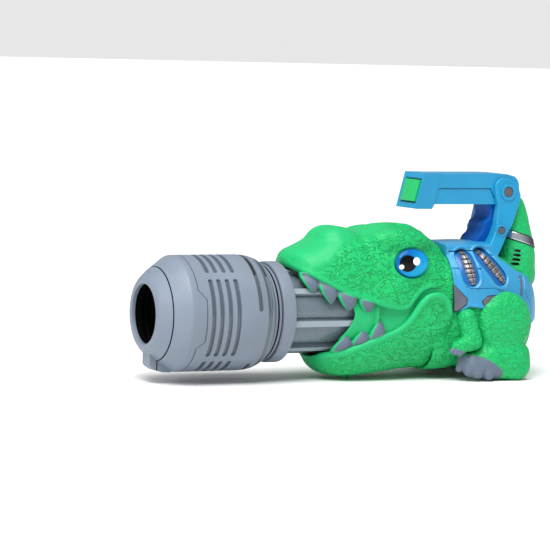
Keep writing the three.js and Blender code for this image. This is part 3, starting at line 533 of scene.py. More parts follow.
def moulded(name, colour, roughness, grain=0.35, variation=0.1, coat=0.0, metallic=0.0, wear=0.0,
            line=False, shine=0.5):
    """Bare or painted plastic: a fine grain and a slow change of tone.

    wear adds pale scuffs, and line paints shade, darkening it where the attribute line is 1.
    """
    n = Nodes(name)
    slow = n.noise(38.0, 3.0)
    fine = n.noise(1500.0, 3.0)
    dark = tuple(c * (1 - variation) for c in colour)
    light = tuple(min(1.0, c * (1 + variation)) for c in colour)
    tone = n.mix(n.grey_ramp(slow, 0.35, 0.65), dark, light)
    if wear:
        scuffs = n.grey_ramp(n.noise(260.0, 6.0, 0.7), 0.62, 0.70)
        pale = tuple(min(1.0, c * 1.5 + 0.05) for c in colour)
        tone = n.mix(n.maths("MULTIPLY", scuffs, wear), tone, pale)
    if line:
        # painted shade where the attribute line is 1
        tone = n.mix(n.attribute("line"), tone, DARK)
    n.colour(tone)
    n.set(Roughness=n.maths("ADD", n.maths("MULTIPLY", fine, 0.16), roughness - 0.08))
    n.set(Metallic=metallic, Specular_IOR_Level=shine, Coat_Weight=coat, Coat_Roughness=0.2)
    n.set_normal(n.relief(fine, 0.00004, grain))
    return n.material


GREY = (0.175, 0.213, 0.268)
# darker grey of the drum's slot floors: painted shade in the recesses
SLOT_SHADE_GREY = (0.075, 0.095, 0.12)
# the barrel's grey, darker than the drum's: painted shade in its hollows
BARREL_SHADED_GREY = (0.120, 0.158, 0.190)
# lighter grey of the ribs' outer faces: painted highlight
RIB_HIGHLIGHT_GREY = (0.26, 0.32, 0.37)
HARNESS_BLUE = (0.026, 0.265, 0.500)
HANDLE_BLUE = (0.006, 0.250, 0.475)
# darker blue of the recessed bowls: painted shade
BOWL_SHADE_BLUE = (0.003, 0.105, 0.36)
INNER_BLUE = (0.0006, 0.078, 0.350)
SILVER = (0.24, 0.225, 0.255)
PANEL_GREY = (0.105, 0.112, 0.145)
CHROME = (0.62, 0.66, 0.74)
WARM_CHROME = (0.21, 0.195, 0.20)
BROWN_GREY = (0.115, 0.090, 0.100)
WHEEL_GREY = (0.014, 0.016, 0.020)
RUBBER = (0.02, 0.021, 0.024)
PEWTER = (0.112, 0.145, 0.200)
GREEN_BUTTON = (0.004, 0.440, 0.120)
# dark plastic; also the colour of the painted shade in the speaker slots, between the beads and at the
# band's ends
DARK = (0.008, 0.009, 0.010)
# near-black painted shade for the inside of the nozzle, the cap's seam and the gaps between the rings
SHADE_BLACK = (0.0012, 0.0013, 0.0014)

M = {
    "skin": skin_material("pebbled_skin"),
    "limb": skin_material("skin_and_claws", "claw", PEWTER),
    # the tail's speaker slots get painted shade
    "tail": skin_material("skin_and_slot_shade", "slot", DARK),
    "grey": moulded("grey_plastic", GREY, 0.45, variation=0.05),
    "slot": moulded("slot_floor_shade", SLOT_SHADE_GREY, 0.24, coat=0.3),
    "barrel": moulded("barrel_grey_shaded", BARREL_SHADED_GREY, 0.27, grain=0.25, variation=0.05, coat=0.25),
    "rib": moulded("rib_grey_highlight", RIB_HIGHLIGHT_GREY, 0.2, grain=0.2, variation=0.05, coat=0.5),
    "painted_shade": moulded("nozzle_inside_shade", SHADE_BLACK, 0.85, variation=0.2, shine=0.04),
    "wheel": moulded("wheel_plastic", WHEEL_GREY, 0.6, shine=0.15),
    "blue": moulded("harness_blue", HARNESS_BLUE, 0.36, variation=0.06),
    "handle": moulded("handle_blue", HANDLE_BLUE, 0.36, variation=0.05),
    "inner": moulded("inner_blue", INNER_BLUE, 0.55, variation=0.08, shine=0.12),
    "bowl": moulded("bowl_blue_shaded", BOWL_SHADE_BLUE, 0.3, variation=0.08, coat=0.3),
    "silver": moulded("silver_paint", SILVER, 0.38, variation=0.12, metallic=0.25, wear=0.25),
    "panel": moulded("panel_grey", PANEL_GREY, 0.34, variation=0.12, metallic=0.2, coat=0.2),
    "band": moulded("band_chrome", CHROME, 0.16, grain=0.12, variation=0.15, metallic=0.95, line=True),
    "chrome": moulded("warm_chrome", WARM_CHROME, 0.32, grain=0.1, variation=0.3, metallic=0.6,
                      coat=0.2, line=True),
    "pivot": moulded("pivot_brown_grey", BROWN_GREY, 0.38, metallic=0.3),
    "pewter": moulded("pewter_paint", PEWTER, 0.36, variation=0.16, metallic=0.15, coat=0.25, wear=0.2),
    "button": moulded("button_green", GREEN_BUTTON, 0.34, variation=0.05),
    "dark": moulded("dark_plastic", DARK, 0.55, variation=0.2),
    "seal": moulded("seal_rubber", RUBBER, 0.7, grain=0.5, variation=0.2),
    "white": moulded("white_plastic", (0.62, 0.64, 0.66), 0.4, variation=0.04),
    "steel": moulded("steel", (0.55, 0.56, 0.58), 0.3, variation=0.06, metallic=1.0, wear=0.2),
    "board": moulded("circuit_board", (0.01, 0.12, 0.05), 0.4, variation=0.15, coat=0.3),
    "cell": moulded("battery_wrap", (0.08, 0.09, 0.11), 0.35, coat=0.3),
}


def dress_frame():
    """Every CAD node gets the finished material of its slot, also those hidden inside."""
    other_names = {"dark_blue": "inner", "tooth": "pewter", "eye": "handle", "white_plastic": "white",
                   "black_plastic": "dark"}
    for part in frame["record"]["subparts"]:
        slot = part["material_slot"]
        material = M[other_names.get(slot, slot)]
        if part["node"] in ("wand_rotor", "reservoir_cup"):
            material = M["wheel"]
        obj = frame["nodes"][part["node"]]
        obj.data.materials.clear()
        obj.data.materials.append(material)


# ---------- the green animal ----------

# x, top, lip, square of the half width
HEAD = [
    (119.2, 97.6, 96.0, 6), (119.8, 99.0, 95.2, 20), (121, 100.8, 93.4, 90), (123.4, 103.2, 91, 300),
    (127, 105.2, 88, 640), (131, 106.6, 85.4, 920), (137, 109.2, 82, 1150), (144, 112.8, 78.6, 1310),
    (152, 117.6, 74.2, 1444), (162, 121.2, 69.8, 1537), (172, 121.2, 66.8, 1600), (182, 119.4, 64.2, 1665),
    (192, 122.0, 60, 1764), (205, 125.2, 56, 1849), (216, 125.7, 40, 1936), (230, 124.6, 24, 2061),
    (240, 120.4, 20, 2116), (248, 114.6, 20, 2079), (258, 107.6, 20, 1954), (262, 104, 20, 1900),
]
# x, bottom, lip, square of the half width
JAW = [
    (143.2, 19.2, 20.6, 9), (144.4, 16.2, 21.2, 80), (147, 12.0, 22, 272), (151.4, 7.6, 23.2, 548),
    (158, 3.6, 25, 876), (166, 1.2, 27.4, 1170), (175, 0.6, 31, 1354), (190, 1.6, 37.4, 1521),
    (206, 4.2, 44, 1714), (216, 5.2, 60, 1901), (226, 6.2, 76, 2116), (240, 6.4, 80, 2228),
    (250.4, 6.6, 80, 2172), (254, 6.6, 80, 2150),
]
UPPER_LIP = [
    (108, 99.5), (114, 97.4), (117.4, 93.6), (121, 90), (126, 87), (136.3, 82.6), (151, 74.7),
    (162.2, 69.8), (173.5, 66.4), (184.4, 63.3), (192.5, 60), (205.7, 57.4), (213.4, 58.4), (217.8, 62.6),
    (222, 67.6), (228.6, 72.9), (236.5, 75.2), (245.4, 73.6), (251.6, 68), (254.4, 59),
]
LOWER_LIP = [
    (128, 17.0), (136, 19.4), (146, 22.2), (159, 25), (174.3, 30.9), (194.5, 38.7), (206, 43.5), (213.4, 50),
    (218.6, 58.4), (223, 65.2), (229, 70.8), (236.5, 72.9), (244.6, 71.4), (250.4, 66), (253.0, 57),
    (252.6, 37.5), (250.2, 27.7), (246.8, 20), (245, 8),
]
HEAD_REAR = [(255.4, 58), (255.4, 102), (258, 110), (258, 140), (108, 140)]
LOWER_EDGE = (128, 0)
HEAD_SQUARE = 2.35
JAW_SQUARE = 2.5
EYE = (217.0, 39.4, 95.5)
EYE_RADII = (15.0, 5.2, 11.6)
HEAD_VOXEL = 0.8
# x, half width between the cheeks
CHEEK = [
    (172, 35.6), (184, 35.6), (190, 32.8), (196, 35.2), (206, 37.6), (216, 39.0), (226, 39.6), (240, 39.2),
    (254, 38.8),
]
# the open mouth in (x, z), and the wall behind the barrel in (y, z)
MOUTH = [
    (188, 26), (206, 36), (228, 40), (246, 43), (254.5, 48), (254.5, 66), (243, 79), (228, 79), (214, 66),
    (190, 70), (186, 74),
]
THROAT_WALL = [(-34, 26), (34, 26), (38, 60), (32, 92), (0, 106), (-32, 92), (-38, 60)]
WALL_X = 189.2
WALL_HALF = 1.3
BARREL_HOLE = 35.3
BORE_HOLE = 17.4

# x, bottom, top, half width
BODY = [
    (238, 6.2, 100, 40), (248, 6.2, 103, 41.4),
    (258.5, 6.8, 105.4, 42), (266, 8.2, 107.4, 43.6), (278, 8.6, 108.4, 44.6), (292, 8.6, 107.8, 44.6),
    (306, 9.2, 103, 43), (320, 12, 96, 39.4), (332, 18, 88, 32.6), (339, 25, 80, 25), (343.4, 35, 72, 15.6),
]
BODY_SQUARE = 2.5
BELLY_SQUARE = 3.6

# z, middle x, reach along x, half width
TAIL = [
    (60, 318, 17, 24), (66, 322, 18.6, 25), (78, 329.1, 21.7, 26), (90, 331.6, 19.2, 24.6),
    (100, 332.8, 17.8, 22.8), (113, 332.4, 15.8, 20), (126, 331, 14.4, 17), (136, 330, 13, 14.4),
    (144, 329.4, 10.2, 11.4), (148, 329.0, 7.4, 8.2), (150.4, 328.7, 4.4, 4.8), (151.4, 328.6, 1.5, 1.5),
]
HANDLE_BACK = [
    (200, 60), (285, 60), (296.6, 91), (304.8, 97), (313.6, 113), (317.8, 120.6), (321.6, 126),
    (326.4, 139.6), (328.4, 141), (329.2, 148.6), (329.4, 170), (200, 170),
]


def shell_field(x, y, z, table, square, voxel):
    """An arch whose base lies at the lip and whose crown is at the table's first value."""
    crown, lip, half2 = smooth_table(x, table)
    half = np.sqrt(np.maximum(half2, 1))
    tall = np.abs(crown - lip)
    f = ((np.abs(y) / half) ** square + (np.abs(z - lip) / tall) ** square) ** (1 / square) - 1
    return normalised(f * np.minimum(half, tall), voxel)


def body_field(x, y, z, voxel):
    low, high, half = smooth_table(x, BODY)
    middle, tall = (low + high) / 2, (high - low) / 2
    square = np.where(z < middle, BELLY_SQUARE, BODY_SQUARE)
    f = ((np.abs(y) / half) ** square + (np.abs(z - middle) / tall) ** square) ** (1 / square) - 1
    d = normalised(f * np.minimum(half, tall), voxel)
    return meet(d, x - BODY[-1][0], 3.0)


def barrel_radius(y, z):
    return np.sqrt(y * y + (z - NOZZLE_Z) ** 2)


def near_barrel(py, pz):
    """1 on the skin that lies against the barrel."""
    return np.clip((36.9 - barrel_radius(py, pz)) / 0.5, 0, 1)


def wrinkle_relief(mesh, plain, depth=0.16, size=9.0, seed=5):
    """Low lumps in the mesh itself, under the fine wrinkles of the material."""
    points, normals = points_of(mesh), normals_of(mesh)
    lift = depth * waves(points, size, seed) * (1 - plain)
    moved = in_frame(points + normals * lift[:, None])
    mesh.vertices.foreach_set("co", moved.astype(np.float32).ravel())
    mesh.update()


def make_head():
    voxel = HEAD_VOXEL
    low = (112, -50, 16)
    x, y, z = grid(low, (262, 50, 130), voxel)
    outer = shell_field(x, y, z, HEAD, HEAD_SQUARE, voxel)
    side = np.abs(y)
    brow = ellipsoid(x, side, z, (213, 27, 112.2), (26, 11.4, 9.8), 0.08)
    outer = join(outer, brow, 7)
    nose = ellipsoid(x, side, z, (164, 9, 113.4), (15, 12, 9.4), 0.05)
    outer = join(outer, nose, 6)
    cheek = ellipsoid(x, side, z, (203, 37.5, 70), (17, 7.2, 11))
    outer = join(outer, cheek, 6)
    lip_line = curve_distance(x, z, rounded(UPPER_LIP[1:17]))
    outer = outer - 0.9 * bump(lip_line - 2.2, 4.2)
    eye = ellipsoid(x, side, z, EYE, [r + 0.25 for r in EYE_RADII])
    rim = ellipsoid(x, side, z, EYE, [r + 2.6 for r in EYE_RADII])
    outer = outer - 0.7 * bump(rim, 3.0)
    region = polygon(x, z, rounded(UPPER_LIP) + HEAD_REAR)
    solid = meet(outer, region, 2.0)
    solid = meet(solid, 119.3 - x, 1.0)
    hollow = np.maximum(outer + 3.6, 126 - x)
    solid = cut(solid, hollow, 1.0)
    solid = cut(solid, barrel_radius(y, z) - 36.4, 0.8)
    solid = cut(solid, eye, 0.5)
    mesh = surface("head", solid, low, voxel, passes=2)
    p = points_of(mesh)
    px, py, pz = p.T
    lips = curve_distance(px, pz, rounded(UPPER_LIP[1:17]))
    eye_d = ellipsoid(px, np.abs(py), pz, EYE, EYE_RADII)
    plain = np.maximum(bump(np.maximum(lips - 2.5, 0), 3.4), bump(np.maximum(eye_d - 1.4, 0), 2.2))
    crown, _, _ = smooth_table(px, HEAD)
    reach = 9 + 14 * np.clip((182 - px) / 34, 0, 1)
    top = np.clip((pz - crown + reach) / 8, 0, 1) * np.clip((222 - px) / 18, 0, 1)
    tip = np.clip((146 - px) / 16, 0, 1)
    plain = np.clip(np.maximum.reduce([plain, 0.9 * top, 0.85 * tip, near_barrel(py, pz)]), 0, 1)
    wrinkle_relief(mesh, plain)
    mark(mesh, "plain", plain)
    piece("head_skin", mesh, "skin", ["head_shell"])


def make_jaw():
    voxel = HEAD_VOXEL
    low = (134, -52, -2)
    x, y, z = grid(low, (256, 52, 80), voxel)
    outer = shell_field(x, y, z, JAW, JAW_SQUARE, voxel)
    lip_line = curve_distance(x, z, rounded(LOWER_LIP[1:15]))
    ear = np.sqrt((x - 234) ** 2 + (z - 56) ** 2) - 17
    outer = outer - 1.1 * bump(lip_line - 2.4, 4.6) - 0.8 * bump(np.maximum(ear, 0), 8)
    region = polygon(x, z, rounded(LOWER_LIP) + [LOWER_EDGE])
    solid = meet(outer, region, 2.4)
    solid = meet(solid, 143.3 - x, 1.6)
    hollow = np.maximum(outer + 4.2, 150 - x)
    solid = cut(solid, hollow, 1.2)
    solid = cut(solid, barrel_radius(y, z) - 36.2, 0.8)
    solid = meet(solid, 0.05 - z, 0.6)
    nub = capsule(x, np.abs(y), z, (174, 9, 1.4), (179, 9, 1.4), 1.3, 1.3)
    solid = join(solid, nub, 0.6)
    mesh = surface("jaw", solid, low, voxel, passes=2)
    p = points_of(mesh)
    px, py, pz = p.T
    lips = curve_distance(px, pz, rounded(LOWER_LIP[1:15]))
    under = np.clip((8 - pz) / 5, 0, 1) * np.clip((214 - px) / 10, 0, 1)
    chin = np.clip((158 - px) / 9, 0, 1)
    lip = bump(np.maximum(lips - 3.6, 0), 3.6)
    plain = np.maximum.reduce([lip, 0.9 * under, 0.9 * chin, near_barrel(py, pz)])
    wrinkle_relief(mesh, plain, seed=6)
    mark(mesh, "plain", plain)
    piece("jaw_skin", mesh, "skin", ["lower_jaw"])


def make_throat():
    """The wall behind the barrel, a collar round the barrel's end and a cheek in each mouth corner."""
    voxel = HEAD_VOXEL
    low = (156, -48, 16)
    x, y, z = grid(low, (257, 48, 104), voxel)
    (place,) = smooth_table(x, CHEEK)
    sheet = np.maximum(np.abs(np.abs(y) - place) - 1.1, polygon(x, z, MOUTH))
    r = barrel_radius(y, z)
    flare = 37.2 + 0.9 * bump(x - 181, 8) - 1.3 * bump(x - 187.6, 3)
    front = 168.4 - 5.0 * np.minimum(np.abs(z - NOZZLE_Z) / 12, 1.6) ** 1.5
    collar = np.maximum(np.maximum(BARREL_HOLE - r, r - flare), np.maximum(front - x, x - 190))
    wall = np.maximum(np.abs(x - WALL_X) - WALL_HALF, polygon(y, z, THROAT_WALL))
    solid = join(join(sheet, collar, 1.6), wall, 2.4)
    solid = cut(solid, np.maximum(r - BARREL_HOLE, x - 186.4), 0.3)
    solid = cut(solid, r - BORE_HOLE, 0.3)
    upper, lower = smooth_table(x, HEAD)[1], smooth_table(x, JAW)[1]
    in_head = np.maximum(shell_field(x, y, z, HEAD, HEAD_SQUARE, voxel) + 2.2, upper - 1 - z)
    in_jaw = np.maximum(shell_field(x, y, z, JAW, JAW_SQUARE, voxel) + 2.6, z - lower - 1)
    between = np.maximum(z - upper, lower - z)
    solid = np.maximum(solid, np.minimum(np.minimum(in_head, in_jaw), between))
    mesh = surface("throat", solid, low, voxel, passes=4, amount=0.5)
    mark(mesh, "plain", np.ones(len(mesh.vertices)))
    piece("throat_skin", mesh, "skin", ["throat_wall"])


# top and bottom of each claw of the left foot, and their radii
CLAWS = (
    ((266.0, -43, 17.8), (261.2, -44.2, 9.8), 5.2, 3.0),
    ((272.5, -45.4, 17.4), (267.6, -48.0, 8.0), 5.6, 4.0),
    ((280.0, -46.6, 14.8), (275.2, -50.6, 6.6), 5.4, 4.6),
    ((287.6, -47.4, 11.0), (284.6, -52.0, 5.0), 5.0, 4.2),
)


def claw_field(x, y, z):
    total = None
    for top, tip, r0, r1 in CLAWS:
        d = capsule(x, y, z, top, tip, r0, r1)
        total = d if total is None else np.minimum(total, d)
    return total


# x, height of the painted edge over the toes
TOE_EDGE = ((250, 14), (255, 16.6), (263, 20.6), (272, 21.8), (284, 17.6), (292, 12.0), (299, 6.0))


def toe_mask(px, py, pz):
    """1 on the painted claws of the left foot."""
    below = np.clip((np.interp(px, *zip(*TOE_EDGE)) - pz) / 0.7, 0, 1)
    return below * np.clip((297 - px) / 1.2, 0, 1) * np.clip((-36 - py) / 2, 0, 1)


THIGH_SQUARE = 3.2
ROUGH_SKIN = 0.38
SOLE_TOP = 1.2


def make_leg():
    voxel = 0.8
    low = (248, -62, -2)
    x, y, z = grid(low, (334, -24, 78), voxel)
    disc_part = np.sqrt(((x - 301.6) / 24.8) ** 2 + ((z - 46.2) / 26.2) ** 2)
    flat_part = np.abs(y + 40) / 14.3
    thigh = (disc_part ** THIGH_SQUARE + flat_part ** THIGH_SQUARE) ** (1 / THIGH_SQUARE) - 1
    thigh = normalised(thigh * 16, voxel)
    calf = capsule(x, y, z, (313.4, -40, 19), (312.4, -42, 12), 13.8, 13.6)
    sole = capsule(x, y, z, (312, -43.6, 12.4), (274, -44, 11.6), 13.2, 9.8)
    ankle = ellipsoid(x, y, z, (298, -43, 20), (22, 12, 13))
    solid = join(join(thigh, calf, 3.6), join(sole, ankle, 6), 4)
    claws = claw_field(x, y, z)
    solid = join(solid, claws, 2.2)
    solid = meet(solid, 0.05 - z, 1.0)
    solid = meet(solid, 255.2 - x, 1.2)
    solid = meet(solid, y + 27, 2.0)
    solid = meet(solid, -HALF_WIDTH - y, 2.0)
    mesh = surface("leg", solid, low, voxel, passes=2)
    p = points_of(mesh)
    claws = toe_mask(*p.T)
    sole = np.clip((SOLE_TOP - p[:, 2]) / 0.8, 0, 1)
    plain = np.maximum(np.maximum(claws, sole), ROUGH_SKIN)
    wrinkle_relief(mesh, plain, depth=0.3, size=8.0, seed=8)
    mark(mesh, "plain", plain)
    mark(mesh, "claw", claws)
    both_sides("leg_skin", mesh, "limb", "leg")


# knuckle and tip of each finger of the left hand
FINGERS = [((255.4 + dx, -48.4 - k, 27.0 + dz), (251.6 + dx, -49.4 - k, 24.0 + dz))
           for k, (dx, dz) in enumerate(((-0.8, 0.6), (2.2, -0.8), (5.4, -1.6)))]


def make_arm():
    voxel = 0.6
    low = (246, -60, 14)
    x, y, z = grid(low, (284, -32, 64), voxel)
    upper = capsule(x, y, z, (267, -43, 51), (271.4, -46, 33.6), 8.2, 7.8)
    fore = capsule(x, y, z, (271.2, -46.6, 31.4), (257.4, -48, 28.0), 7.0, 5.2)
    solid = join(upper, fore, 3)
    for knuckle, tip in FINGERS:
        solid = join(solid, capsule(x, y, z, knuckle, tip, 2.9, 1.9), 1.2)
    mesh = surface("arm", solid, low, voxel, passes=2)
    px, _, pz = points_of(mesh).T
    claws = np.clip((27.2 - 0.26 * (px - 253) - pz) / 0.6, 0, 1) * np.clip((263 - px) / 0.6, 0, 1)
    wrinkle_relief(mesh, claws, depth=0.2, size=7.0, seed=9)
    mark(mesh, "plain", np.maximum(claws, 0.3))
    mark(mesh, "claw", claws)
    both_sides("arm_skin", mesh, "limb", "arm")


def make_torso():
    voxel = 0.9
    low = (236, -52, 0)
    x, y, z = grid(low, (356, 52, 118), voxel)
    outer = body_field(x, y, z, voxel)
    solid = cut(outer, outer + 2.4, 0.2)
    solid = meet(solid, 240.5 - x, 0.6)
    hatch = np.maximum(np.maximum(np.abs(x - 290) - 24.3, np.abs(y) - 17.3), z - 11.2)
    solid = cut(solid, hatch, 0.3)
    folds = np.sin((z + 0.25 * x) / 3.1) * bump(x - 262, 16) * bump(z - 36, 22)
    solid = solid + 0.5 * folds * (np.abs(y) > 30)
    mesh = surface("torso", solid, low, voxel, passes=2)
    plain = np.clip((12 - points_of(mesh)[:, 2]) / 4, 0, 1)
    wrinkle_relief(mesh, plain, seed=10)
    mark(mesh, "plain", plain)
    piece("torso_skin", mesh, "skin", ["body_shell_left", "body_shell_right"])


def tail_field(x, y, z, voxel):
    middle, reach, half = smooth_table(z, TAIL)
    f = np.sqrt(((x - middle) / reach) ** 2 + (y / half) ** 2) - 1
    return normalised(f * np.minimum(reach, half), voxel)


def make_tail():
    voxel = 0.8
    low = (300, -30, 64)
    x, y, z = grid(low, (358, 30, 153), voxel)
    solid = tail_field(x, y, z, voxel)
    solid = meet(solid, z - 151.2, 1.2)
    solid = meet(solid, x - 2 * HALF_LENGTH + 0.6, 1.0)
    solid = cut(solid, polygon(x, z, HANDLE_BACK), 1.0)
    solid = cut(solid, speaker_slots(x, y, z), 0.4)
    mesh = surface("tail_mesh", solid, low, voxel, passes=2)
    slots = speaker_slots(*points_of(mesh).T)
    plain = np.maximum(bump(np.maximum(slots - 0.2, 0), 1.2), 0.62)
    wrinkle_relief(mesh, plain, depth=0.3, size=8.0, seed=11)
    mark(mesh, "plain", plain)
    # painted shade inside the speaker slots
    mark(mesh, "slot", np.clip(0.8 - slots * 2, 0, 1))
    piece("tail_skin", mesh, "tail", ["tail"])


SPEAKER_BOW = 0.01
SPEAKER_SLOTS = ((320.0, 103.6, 8.6), (321.2, 99.8, 7.4), (322.4, 96.0, 5.6), (323.4, 92.4, 3.4))


def speaker_slots(x, y, z):
    """Four plain slots in front of the speaker, on both flanks."""
    nearest = 1e3
    for cx, cz, half in SPEAKER_SLOTS:
        along = np.maximum(np.abs(x - cx) - half + 0.8, 0)
        up = z - cz + SPEAKER_BOW * (x - cx) ** 2
        flat = np.sqrt(along ** 2 + up ** 2) - 0.95
        nearest = np.minimum(nearest, flat)
    return np.maximum(nearest, 19.0 - np.abs(y))


# ---------- nozzle drum and barrel ----------

DRUM_R = 46.2
SLOT_X = (40.6, 47.6, 54.9, 62.3)
SLOT_WIDTH = 3.7
SLOT_HALF_SPAN = 41.2
SLOT_TILT = -0.8
SLOT_DEPTH = 1.5
REAR_SLOTS = ((81.2, 3.7, SLOT_DEPTH), (91.6, 2.2, 4.0))
# dark strips on the floors of the rear slots: painted shade for the dark seen through them
VENT_SHADES = ((81.2, 3.5, 1.75, 1.38), (91.6, 2.0, 4.2, 3.8))
# x, degrees round the drum: a jog across the flank, then a straight run over the top
SEAM_JOG = [(34.8, t) for t in np.linspace(-18, 13, 9)]
SEAM_RUN = [(28.6, t) for t in np.linspace(33, 149, 30)]
SEAM_LINE = [(28.6, -31), (34.8, -24)] + SEAM_JOG + [(34.8, 19), (28.6, 28)] + SEAM_RUN
ARC_END = (0, 0.25, 0.6, 1.1, 1.7, 2.4)
CAP_SEAM = (9.3, 10.8)
DARK_FROM = 3.2
CAP_OPENING = 24.3


def on_round(x, degrees, r):
    t = math.radians(degrees)
    return (x, -r * math.cos(t), NOZZLE_Z + r * math.sin(t))


def groove(name, path, width, r0, r1, round_ends=True):
    """A cutter along a path of (x, degrees) on a round, 0 degrees being the left flank and 90 the top."""
    rings = []
    length = [0.0]
    for (xa, ta), (xb, tb) in zip(path[:-1], path[1:]):
        length.append(length[-1] + math.hypot(xb - xa, math.radians(tb - ta) * r1))
    for (x, degrees), s in zip(path, length):
        half = width / 2
        if round_ends:
            end = min(s, length[-1] - s)
            if end < half:
                half = math.sqrt(max(half * half - (half - end) ** 2, 0.0025))
        rings.append([on_round(x - half, degrees, r0), on_round(x - half, degrees, r1),
                      on_round(x + half, degrees, r1), on_round(x + half, degrees, r0)])
    return loft(name, rings)


def arc(x, start, end, step=3.0):
    """Points along one x, close together at both ends so that they come out round."""
    count = max(2, int(abs(end - start) / step))
    middle = np.linspace(start + ARC_END[-1] + step / 2, end - ARC_END[-1] - step / 2, count)
    turns = [start + n for n in ARC_END] + list(middle) + [end - n for n in reversed(ARC_END)]
    return [(x, t) for t in turns]


def seam_cutters():
    cutters = []
    for turn in (0, 180):
        path = [(x, t + turn) for x, t in SEAM_LINE]
        cutters.append(groove("seam", path, 0.75, DRUM_R - 1.3, DRUM_R + 1, round_ends=False))
    return cutters


def lug(outline):
    return side_plate("lug", outline, -7, 7)


def paint_rounds(obj, material, inner, outer, first=0.0, last=2 * HALF_LENGTH):
    """Faces between two radii, from first to last along x, take another material."""
    mesh = obj.data
    mesh.materials.append(M[material])
    for face in mesh.polygons:
        c = face.center * 1000
        if inner < math.hypot(c.y, c.z - NOZZLE_Z) < outer and first < c.x + HALF_LENGTH < last:
            face.material_index = len(mesh.materials) - 1


def paint_shade_inside(obj, reach):
    """Faces behind the mouth of the nozzle and in the cap's seam get painted shade, a near-black material.
    """
    mesh = obj.data
    mesh.materials.append(M["painted_shade"])
    for face in mesh.polygons:
        c = face.center * 1000
        towards = Vector((0, c.y, c.z - NOZZLE_Z)).normalized()
        radius = math.hypot(c.y, c.z - NOZZLE_Z)
        at = c.x + HALF_LENGTH
        way = face.normal.x
        inner = face.normal.dot(towards) < -0.2 or way > 0.7 or (way < -0.7 and radius < CAP_OPENING)
        seam = CAP_SEAM[0] < at < CAP_SEAM[1] and abs(way) > 0.95
        if seam or (inner and radius < reach and at > DARK_FROM):
            face.material_index = 1


# closed profiles of (x, r)
CAP_PROFILE = [
    (0.3, 24.4), (0.0, 25.2), (0.15, 26.4), (0.5, 27.8), (1.2, 29.2), (2.4, 30.8), (4.2, 32.6), (9.2, 36.9),
    (9.6, 36.9), (9.6, 35.2), (15.5, 35.2), (15.5, 32.6), (3.4, 27), (9, 25.4), (9, 23.7), (3.6, 23.7),
    (1.6, 23.7), (0.7, 23.9),
]
DRUM_PROFILE = [
    (10.4, 35.6), (10.4, 37.4), (10.8, 37.9), (21.6, 45.5), (22.4, 45.95), (23.4, DRUM_R - 0.05),
    (25, DRUM_R), (52, DRUM_R + 0.05), (80, DRUM_R), (84, 45.9), (88, 45.2), (92, 43.9), (95.6, 41.8),
    (96.5, 40.6), (96.5, 13.5), (94.1, 13.5), (94.1, 38.4), (81, 43.2), (23.2, 43.2), (13.2, 36.6),
    (13.2, 35.6),
]
RING_PROFILE = [
    (97.2, 28), (97.2, 38.4), (97.5, 38.8), (99.2, 38.8), (99.5, 38.5), (99.6, 35.8), (100.8, 35.8),
    (100.9, 38.3), (101.2, 38.6), (102.6, 38.6), (102.9, 38.3), (102.9, 28),
]
FLANGE_PROFILE = [
    (103.8, 35.6), (103.8, 39.7), (104.3, 40.3), (105.2, 40.5), (113.6, 40.5), (114.6, 40.3),
    (115.2, 39.5), (115.2, 35.6),
]
# (x, z) outlines of the lug under the nozzle, on the cap and on the drum
CAP_LUG = [(3.6, 23), (3.6, 15), (4.2, 13.7), (5.4, 12.4), (9.5, 10.1), (9.5, 23)]
DRUM_LUG = [(10.4, 18), (10.4, 9.9), (15, 8.7), (21.4, 8.4), (21.4, 18)]
# x, degrees either side of the top
CAP_MARK = ((5.2, -1.1), (5.2, 1.1), (2.4, 0))


def make_cap():
    cap = turned("cap", CAP_PROFILE)
    front = lug(CAP_LUG)
    combine(front, [rod("hollow", -5, 20, 31)])
    combine(cap, [front], "UNION")
    mark_rings = [[on_round(x, 90 + t, r) for x, t in CAP_MARK] for r in (32, 37.6)]
    combine(cap, [loft("mark", mark_rings)])
    made = hand_over(cap, "nozzle_cap", "grey", ["front_cap"], body="cap", bevel=0.25)
    paint_shade_inside(made, 36)


def make_drum():
    shell = turned("shell", DRUM_PROFILE, segments=240)
    rear = lug(DRUM_LUG)
    combine(rear, [turned("seat", [(5, 0), (5, 36.8), (13.2, 36.8), (23, 43.6), (23, 0)], hollow=False)])
    combine(shell, [rear], "UNION")
    cutters = seam_cutters()
    for group in range(4):
        centre = SLOT_TILT + group * 90
        for x in SLOT_X:
            path = arc(x, centre - SLOT_HALF_SPAN, centre + SLOT_HALF_SPAN)
            cutters.append(groove("slot", path, SLOT_WIDTH, DRUM_R - SLOT_DEPTH, DRUM_R + 1))
    for start, end in ((6, 174), (236, 304)):
        for x, width, depth in REAR_SLOTS:
            cutters.append(groove("rear_slot", arc(x, start, end), width, DRUM_R - depth, DRUM_R + 1))
    combine(shell, cutters)
    made = hand_over(shell, "drum", "grey", ["drum_shell"], bevel=0.22)
    paint_shade_inside(made, 43.4)
    # the slot floors get a darker grey, painted shade
    paint_rounds(made, "slot", 43.6, DRUM_R - 0.9, 36, 95)
    # dark strips in the rear slots, painted shade
    vent_shades = []
    for start, end in ((46, 78), (102, 134)):
        for x, width, low, high in VENT_SHADES:
            vent_shades.append(groove("vent_shade", arc(x, start, end), width, DRUM_R - low, DRUM_R - high))
    combine(vent_shades[0], vent_shades[1:], "UNION")
    hand_over(vent_shades[0], "drum_vent_shade", "dark")


def make_rings():
    rings = turned("rings", RING_PROFILE)
    made = hand_over(rings, "drum_rings", "grey", ["spacer_rings"])
    # the gaps between the rings get painted shade
    paint_rounds(made, "painted_shade", 0, 37.6)
    flange = turned("flange", FLANGE_PROFILE)
    hand_over(flange, "flange", "grey", ["flange_ring"], bevel=0.2)


RIBS = 8
FIRST_RIB = 33
